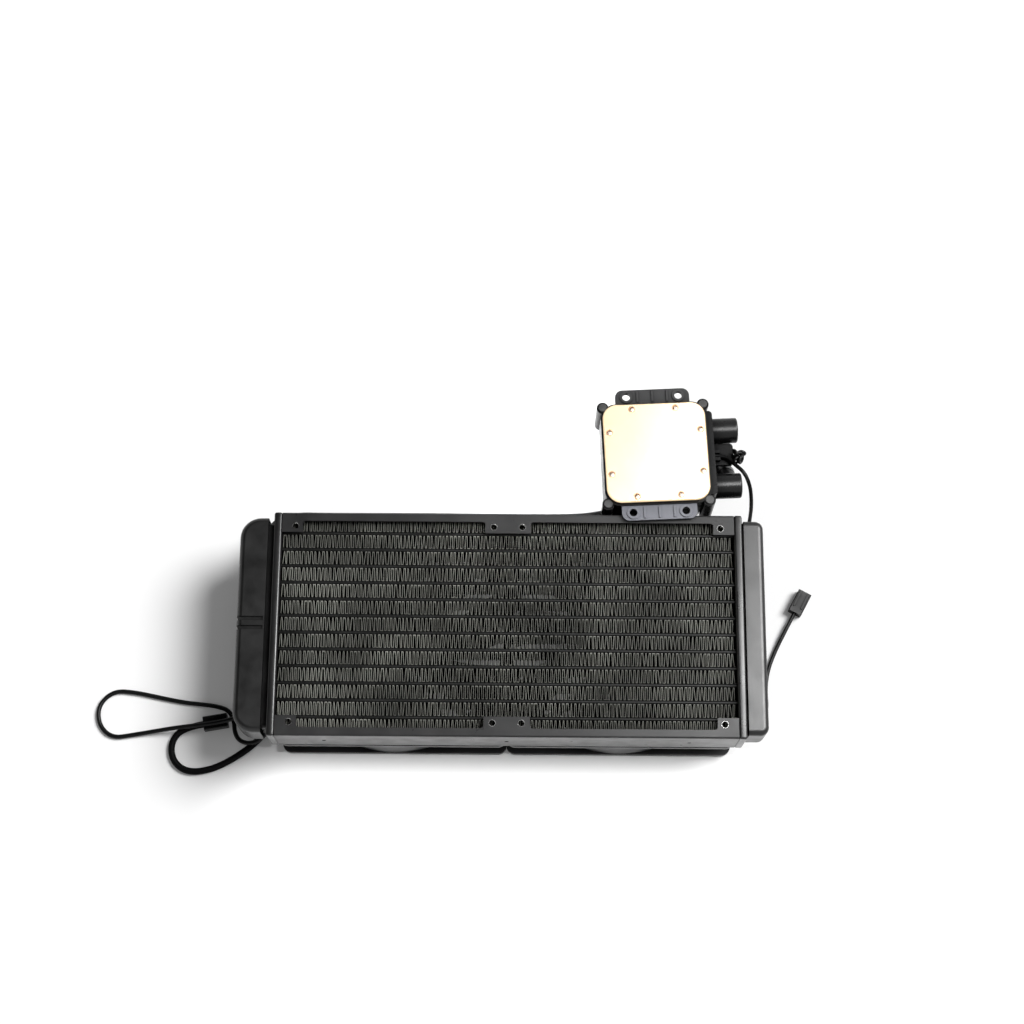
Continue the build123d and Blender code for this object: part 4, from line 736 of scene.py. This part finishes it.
@dataclass
class NodeTree:
    """A Geometry Nodes group that makes one piece."""

    name: str
    group: bpy.types.NodeTree = field(init=False)

    def __post_init__(self) -> None:
        """Starts an empty group with its geometry output."""
        self.group = bpy.data.node_groups.new(self.name, "GeometryNodeTree")
        self.group.interface.new_socket("Geometry", in_out="INPUT", socket_type="NodeSocketGeometry")
        self.group.interface.new_socket("Geometry", in_out="OUTPUT", socket_type="NodeSocketGeometry")
        self.inputs = self.group.nodes.new("NodeGroupInput")
        self.outputs = self.group.nodes.new("NodeGroupOutput")

    def number(self, name: str, value: float, kind: str = "NodeSocketFloat") -> None:
        """Adds a named input.

        Args:
            name: The input's name.
            value: Its default.
            kind: The socket's type.
        """
        socket = self.group.interface.new_socket(name, in_out="INPUT", socket_type=kind)
        socket.default_value = value

    def add(self, kind: str, **settings: object) -> bpy.types.Node:
        """Adds a node.

        Args:
            kind: The node's type.
            settings: The node's own settings.

        Returns:
            The node.
        """
        node = self.group.nodes.new(kind)
        for name, value in settings.items():
            setattr(node, name, value)
        return node

    def join(self, source: Socket, target: Socket) -> None:
        """Links two sockets."""
        self.group.links.new(source, target)

    def copies(self, points: Socket, instance: Socket) -> bpy.types.Node:
        """Adds the node that sets a copy on each point.

        Args:
            points: The points.
            instance: What is copied.

        Returns:
            The node.
        """
        node = self.add("GeometryNodeInstanceOnPoints")
        self.join(points, node.inputs["Points"])
        self.join(instance, node.inputs["Instance"])
        return node

    def copies_of(self, thing: bpy.types.Object) -> bpy.types.Node:
        """Adds the nodes that set a copy of an object on each corner of the start mesh.

        Args:
            thing: The object.

        Returns:
            The last node.
        """
        dots = self.add("GeometryNodeMeshToPoints")
        self.join(self.inputs.outputs["Geometry"], dots.inputs["Mesh"])
        info = self.add("GeometryNodeObjectInfo")
        info.inputs["Object"].default_value = thing
        return self.copies(dots.outputs[0], info.outputs["Geometry"])

    def scaled(self, number: Socket, factor: float) -> Socket:
        """A number times a factor.

        Args:
            number: The number's socket.
            factor: The factor.

        Returns:
            The result's socket.
        """
        node = self.add("ShaderNodeMath", operation="MULTIPLY")
        self.join(number, node.inputs[0])
        node.inputs[1].default_value = factor
        return node.outputs[0]

    def offset(self, axis: str, number: Socket) -> Socket:
        """A vector along one axis.

        Args:
            axis: The axis' letter.
            number: The length's socket.

        Returns:
            The vector's socket.
        """
        node = self.add("ShaderNodeCombineXYZ")
        self.join(number, node.inputs[axis])
        return node.outputs[0]

    def finish(self, geometry: Socket, finish: Finish) -> None:
        """Ends the group: instances made real, then the finish.

        Args:
            geometry: The geometry so far.
            finish: The piece's finish.
        """
        real = self.add("GeometryNodeRealizeInstances")
        paint = self.add("GeometryNodeSetMaterial")
        paint.inputs["Material"].default_value = finish.material()
        self.join(geometry, real.inputs[0])
        self.join(real.outputs[0], paint.inputs["Geometry"])
        self.join(paint.outputs[0], self.outputs.inputs["Geometry"])

    def bake(self, name: str, mesh: bpy.types.Mesh, finish: Finish) -> bpy.types.Object:
        """Runs the group on a mesh and keeps the result as a plain mesh.

        Args:
            name: The piece's name.
            mesh: The mesh that the group starts from.
            finish: The piece's finish.

        Returns:
            The piece.
        """
        start = new_object(name + "_start", mesh)
        modifier = start.modifiers.new(self.name, "NODES")
        modifier.node_group = self.group
        for item in self.group.interface.items_tree:
            if item.in_out == "INPUT" and item.socket_type in ("NodeSocketFloat", "NodeSocketInt"):
                modifier[item.identifier] = item.default_value
        made = evaluated_mesh(start)
        made.name = name
        start.modifiers.remove(modifier)
        bpy.data.objects.remove(start)
        piece = new_object(name, made)
        finish.cover(piece)
        return piece


@dataclass
class FineFins:
    """The folded fins at their real pitch, one wavy strip in each row between the flat tubes."""

    wave: float = 0.00205
    sheet: float = 0.00014
    height: float = 0.0206
    clearance: float = 0.00012
    jitter: float = 0.00032
    seed: int = 11
    rows: int = 13
    tube: float = 0.0019
    folds: tuple[float, ...] = (0.0, 0.12, 0.50, 0.62)

    def strip(self, length: float, rise: float) -> bpy.types.Mesh:
        """One wavy strip of sheet as a flat line of points.

        Args:
            length: The row's length.
            rise: How far the folds reach to each side.

        Returns:
            The line's mesh, with its corners in the order of the wave.
        """
        waves = int(length / self.wave)
        start = -waves * self.wave / 2
        corners = []
        for i in range(len(self.folds) * waves + 1):
            whole, part = divmod(i, len(self.folds))
            x = start + (whole + self.folds[part]) * self.wave
            y = rise if part in (1, 2) else -rise
            corners.append((x, y, 0.0))
        mesh = bpy.data.meshes.new("fin_wave")
        mesh.from_pydata(corners, [(i, i + 1) for i in range(len(corners) - 1)], [])
        return mesh

    def build(self) -> None:
        """Makes the rows with Geometry Nodes."""
        low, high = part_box("fin_rows")
        tubes_low, tubes_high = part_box("flat_tubes")
        pitch = (tubes_high.y - tubes_low.y - self.tube) / (self.rows - 2)
        rise = (pitch - self.tube) / 2 - self.sheet / 2 - self.clearance
        tree = NodeTree("fine_fins")
        tree.number("Rows", self.rows, "NodeSocketInt")
        tree.number("Pitch", pitch)
        tree.number("Height", self.height)
        tree.number("Jitter", self.jitter)
        tree.number("Seed", self.seed, "NodeSocketInt")
        source = tree.inputs.outputs
        line = tree.add("GeometryNodeMeshLine")
        tree.join(source["Rows"], line.inputs["Count"])
        tree.join(tree.offset("Y", source["Pitch"]), line.inputs["Offset"])
        first = tree.add("GeometryNodeTransform")
        first_y = (tubes_low.y + tubes_high.y) / 2 - self.rows // 2 * pitch
        first.inputs["Translation"].default_value = ((low.x + high.x) / 2, first_y, low.z)
        tree.join(line.outputs[0], first.inputs["Geometry"])
        copies = tree.copies(first.outputs[0], source["Geometry"])
        real = tree.add("GeometryNodeRealizeInstances")
        tree.join(copies.outputs[0], real.inputs[0])
        shake = tree.add("FunctionNodeRandomValue", data_type="FLOAT")
        tree.join(tree.scaled(source["Jitter"], -1.0), pick(shake.inputs, "Min", "VALUE"))
        tree.join(source["Jitter"], pick(shake.inputs, "Max", "VALUE"))
        tree.join(source["Seed"], shake.inputs["Seed"])
        moved = tree.add("GeometryNodeSetPosition")
        tree.join(real.outputs[0], moved.inputs["Geometry"])
        tree.join(tree.offset("X", pick(shake.outputs, "Value", "VALUE")), moved.inputs["Offset"])
        walls = tree.add("GeometryNodeExtrudeMesh", mode="EDGES")
        tree.join(moved.outputs[0], walls.inputs["Mesh"])
        tree.join(tree.offset("Z", source["Height"]), walls.inputs["Offset"])
        tree.finish(walls.outputs["Mesh"], FIN_PAINT)
        piece = tree.bake("fine_fins", self.strip(high.x - low.x, rise), FIN_PAINT)
        self.thicken(piece)
        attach(piece, BODY)
        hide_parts("fin_rows")
        log.info("fins: %d faces", len(piece.data.polygons))

    def thicken(self, piece: bpy.types.Object) -> None:
        """Gives the sheet its thickness.

        Args:
            piece: The fins' object.
        """
        solid = piece.modifiers.new("sheet", "SOLIDIFY")
        solid.thickness = self.sheet
        solid.offset = 0.0
        made = evaluated_mesh(piece)
        piece.modifiers.clear()
        piece.data = made


@dataclass
class PlateScrews:
    """The eight small screws of the cold plate, each sunk in its counterbore with a ring of painted shade
    round it.
    """

    head_radius: float = 0.00122
    dome: float = 0.00035
    sink: float = 0.00022
    cross_width: float = 0.00032
    cross_length: float = 0.0015
    cross_depth: float = 0.0003
    thread_depth: float = 0.0006
    collar_inner: float = 0.00132
    collar_outer: float = 0.00195
    collar_base: float = 0.000005
    collar_lift: float = 0.00005
    collar_slope: float = 0.6
    profile: tuple[Span, ...] = ((0.86, 0.35), (0.55, 0.08), (0.25, 0.0))
    sides: int = 28
    seed: int = 5

    def head(self) -> bpy.types.Mesh:
        """One screw head: a low dome over a short wall; cut() adds its cross.

        Returns:
            The head's mesh, its top at the origin.
        """
        bm = bmesh.new()
        levels = [(self.head_radius, -self.thread_depth), (self.head_radius, -self.dome)]
        levels += [(self.head_radius * reach, -self.dome * drop) for reach, drop in self.profile]
        rings = [level_ring(bm, radius, z, self.sides) for radius, z in levels]
        for low, high in zip(rings, rings[1:]):
            skin(bm, low, high)
        bm.faces.new(rings[-1])
        bm.faces.new(list(reversed(rings[0])))
        return mesh_from("plate_screw_head", bm)

    def cut(self, mesh: bpy.types.Mesh) -> bpy.types.Mesh:
        """Cuts the cross into a head.

        Args:
            mesh: The head.

        Returns:
            The head with its cross.
        """
        head = new_object("head", mesh)
        cutters = []
        for long_x in (True, False):
            bm = bmesh.new()
            bmesh.ops.create_cube(bm, size=1.0)
            size = (self.cross_length, self.cross_width) if long_x else (self.cross_width, self.cross_length)
            bmesh.ops.scale(bm, vec=(*size, 2 * self.cross_depth), verts=bm.verts)
            cutters.append(new_object("bar", mesh_from("bar", bm)))
        for cutter in cutters:
            boolean = head.modifiers.new("cross", "BOOLEAN")
            boolean.operation = "DIFFERENCE"
            boolean.object = cutter
        made = evaluated_mesh(head)
        for piece in (head, *cutters):
            bpy.data.objects.remove(piece)
        return made

    def centres(self) -> list[Vector]:
        """The middle of each screw, at the plate's top.

        Returns:
            The middles, from left to right, so that each run turns the same head the same way.
        """
        bm = bmesh.new()
        bm.from_mesh(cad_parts["plate_screws"].data)
        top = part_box("cold_plate")[1].z
        found = []
        left = set(bm.verts)
        while left:
            island, front = set(), [left.pop()]
            while front:
                vert = front.pop()
                island.add(vert)
                for edge in vert.link_edges:
                    other = edge.other_vert(vert)
                    if other in left:
                        left.discard(other)
                        front.append(other)
            xs, ys = [v.co.x for v in island], [v.co.y for v in island]
            found.append(Vector(((min(xs) + max(xs)) / 2, (min(ys) + max(ys)) / 2, top)))
        bm.free()
        merged: list[Vector] = []
        for centre in found:
            if all((centre - other).length > self.head_radius for other in merged):
                merged.append(centre)
        return sorted(merged, key=lambda centre: centre.x)

    def build(self) -> None:
        """Places the heads with Geometry Nodes, each turned its own way."""
        centres = self.centres()
        points = bpy.data.meshes.new("screw_places")
        points.from_pydata([tuple(centre - Vector((0, 0, self.sink))) for centre in centres], [], [])
        head = new_object("screw_head", self.cut(self.head()))
        tree = NodeTree("screw_row")
        tree.number("Seed", self.seed, "NodeSocketInt")
        turn = tree.add("FunctionNodeRandomValue", data_type="FLOAT_VECTOR")
        pick(turn.inputs, "Min", "VECTOR").default_value = (0.0, 0.0, 0.0)
        pick(turn.inputs, "Max", "VECTOR").default_value = (0.0, 0.0, math.tau)
        tree.join(tree.inputs.outputs["Seed"], turn.inputs["Seed"])
        copies = tree.copies_of(head)
        tree.join(pick(turn.outputs, "Value", "VECTOR"), copies.inputs["Rotation"])
        tree.finish(copies.outputs[0], SCREW_STEEL)
        piece = tree.bake("cold_plate_screws", points, SCREW_STEEL)
        bpy.data.objects.remove(head)
        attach(piece, BODY)
        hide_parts("plate_screws")
        log.info("plate screws: %d heads", len(centres))

    def shade_rings(self) -> None:
        """Makes a thin dark copper ring round each head: painted shade of the screw's sunken seat."""
        bm = bmesh.new()
        for centre in self.centres():
            levels = ((self.collar_inner, self.collar_base), (self.collar_inner, self.collar_lift),
                      (self.collar_outer, self.collar_lift * self.collar_slope),
                      (self.collar_outer, self.collar_base))
            rings = [level_ring(bm, radius, z, self.sides, centre) for radius, z in levels]
            for low, high in zip(rings, rings[1:] + rings[:1]):
                skin(bm, low, high)
        bmesh.ops.recalc_face_normals(bm, faces=bm.faces)
        piece = new_object("screw_seats", mesh_from("screw_seats", bm))
        SCREW_WELL_SHADE.cover(piece)
        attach(piece, BODY)
        log.info("screw seats: %d faces", len(piece.data.polygons))


@dataclass
class LeadKnot:
    """The knot of thin ties that holds the pump lead beside the elbows."""

    wire: float = 0.00075
    shift: Point = (-0.0036, 0.0036, 0.0)
    loops: tuple[tuple[float, float, float, float], ...] = (
        (0.0000, 0.0000, 0.0024, 0.2), (0.0012, -0.0018, 0.0020, 1.1), (-0.0014, 0.0016, 0.0021, 2.2),
        (0.0018, 0.0018, 0.0017, 2.9), (-0.0010, -0.0022, 0.0018, 0.7))
    tilt: float = 0.9
    tilt_gain: float = 0.3
    sides: int = 10
    steps: int = 26

    def build(self) -> None:
        """Makes the loops round the tie's place."""
        low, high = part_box("cable_tie")
        middle = (Vector(low) + Vector(high)) / 2 + Vector(self.shift)
        bm = bmesh.new()
        for x, y, radius, turn in self.loops:
            matrix = (Matrix.Translation(middle + Vector((x, y, 0.0))) @ Matrix.Rotation(turn, 4, "Z")
                      @ Matrix.Rotation(self.tilt + turn * self.tilt_gain, 4, "X"))
            rings = []
            for i in range(self.steps):
                along = i * math.tau / self.steps
                ring = []
                for k in range(self.sides):
                    around = k * math.tau / self.sides
                    reach = radius + self.wire * math.cos(around)
                    place = (reach * math.cos(along), reach * math.sin(along), self.wire * math.sin(around))
                    ring.append(bm.verts.new(matrix @ Vector(place)))
                rings.append(ring)
            for i in range(self.steps):
                skin(bm, rings[i], rings[(i + 1) % self.steps])
        bmesh.ops.recalc_face_normals(bm, faces=bm.faces)
        piece = new_object("lead_knot", mesh_from("lead_knot", bm))
        piece.data.shade_smooth()
        CONNECTOR.cover(piece)
        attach(piece, BODY)
        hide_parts("cable_tie")
        log.info("lead knot: %d loops", len(self.loops))


@dataclass
class HeaderCaps:
    """The folded header plates, which lap over the rails' ends with a soft round edge."""

    lap: float = 0.00012
    edge: float = 0.0011
    segments: int = 4

    def build(self) -> None:
        """Makes one rounded bar for each header plate, in place of the plain one."""
        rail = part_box("side_rail_front"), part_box("side_rail_back")
        low_y = min(box[0].y for box in rail) - self.lap
        high_y = max(box[1].y for box in rail) + self.lap
        for side in ("left", "right"):
            low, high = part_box(f"header_{side}")
            size = Vector((high.x - low.x, high_y - low_y, high.z - low.z + 2 * self.lap))
            centre = Vector(((low.x + high.x) / 2, (low_y + high_y) / 2, (low.z + high.z) / 2))
            bm = bmesh.new()
            bmesh.ops.create_cube(bm, size=1.0)
            bmesh.ops.scale(bm, vec=size, verts=bm.verts)
            bmesh.ops.bevel(bm, geom=bm.edges[:], offset=self.edge, segments=self.segments, profile=0.5,
                            affect="EDGES", clamp_overlap=True)
            bmesh.ops.translate(bm, vec=centre, verts=bm.verts)
            piece = new_object(f"header_cap_{side}", mesh_from(f"header_cap_{side}", bm))
            piece.data.shade_smooth()
            HEADER_PAINT.cover(piece)
            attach(piece, BODY)
            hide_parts(f"header_{side}")
            log.info("header cap: %s", side)


@dataclass
class ThreadRims:
    """The bare threads in the rails' screw holes, which catch the light inside each hole."""

    radius: float = 0.00178
    wall: float = 0.00022
    depth: float = 0.0013
    root: float = 0.35
    turns: int = 3
    sides: int = 26
    first_hole: float = 0.0075
    pattern: float = 0.105
    sink: float = 0.00004

    def build(self) -> None:
        """Places a short threaded sleeve in each hole with Geometry Nodes."""
        middle = radiator_middle()
        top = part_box("side_rail_front")[1].z
        places = [(middle.x + side * (self.first_hole + far * self.pattern),
                   middle.y + row * self.pattern / 2, top - self.sink)
                  for side in (-1, 1) for far in (0, 1) for row in (-1, 1)]
        points = bpy.data.meshes.new("hole_places")
        points.from_pydata(places, [], [])
        bm = bmesh.new()
        last = 2 * self.turns
        levels = [(self.radius - self.wall * (1.0 if k % 2 else self.root), -self.depth * k / last)
                  for k in range(last + 1)]
        levels += [(self.radius, -self.depth), (self.radius, 0.0)]
        loop = [level_ring(bm, radius, z, self.sides) for radius, z in levels]
        for low, high in zip(loop, loop[1:] + loop[:1]):
            skin(bm, low, high)
        bmesh.ops.recalc_face_normals(bm, faces=bm.faces)
        thread = new_object("thread", mesh_from("thread", bm))
        tree = NodeTree("thread_rims")
        tree.number("Scale", 1.0)
        copies = tree.copies_of(thread)
        tree.join(tree.inputs.outputs["Scale"], copies.inputs["Scale"])
        tree.finish(copies.outputs[0], BARE_THREAD)
        piece = tree.bake("rail_threads", points, BARE_THREAD)
        bpy.data.objects.remove(thread)
        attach(piece, BODY)
        log.info("rail threads: %d holes", len(places))


def dress_nodes() -> None:
    """Gives every CAD node its finish."""
    for finish, names in NODE_FINISHES:
        finish.dress(*names)
        log.info("finish %s on %d nodes", finish.name, len(names))


def main() -> None:
    """Builds everything in order."""
    logging.basicConfig(level=logging.INFO, format="%(name)s: %(message)s")
    Camera().build()
    for cord in CORDS:
        cord.build()
        log.info("cord %s", cord.name)
    dress_nodes()
    FineFins().build()
    screws = PlateScrews()
    screws.build()
    screws.shade_rings()
    LeadKnot().build()
    ThreadRims().build()
    HeaderCaps().build()
    Studio().build()


if __name__ == "__main__":
    main()
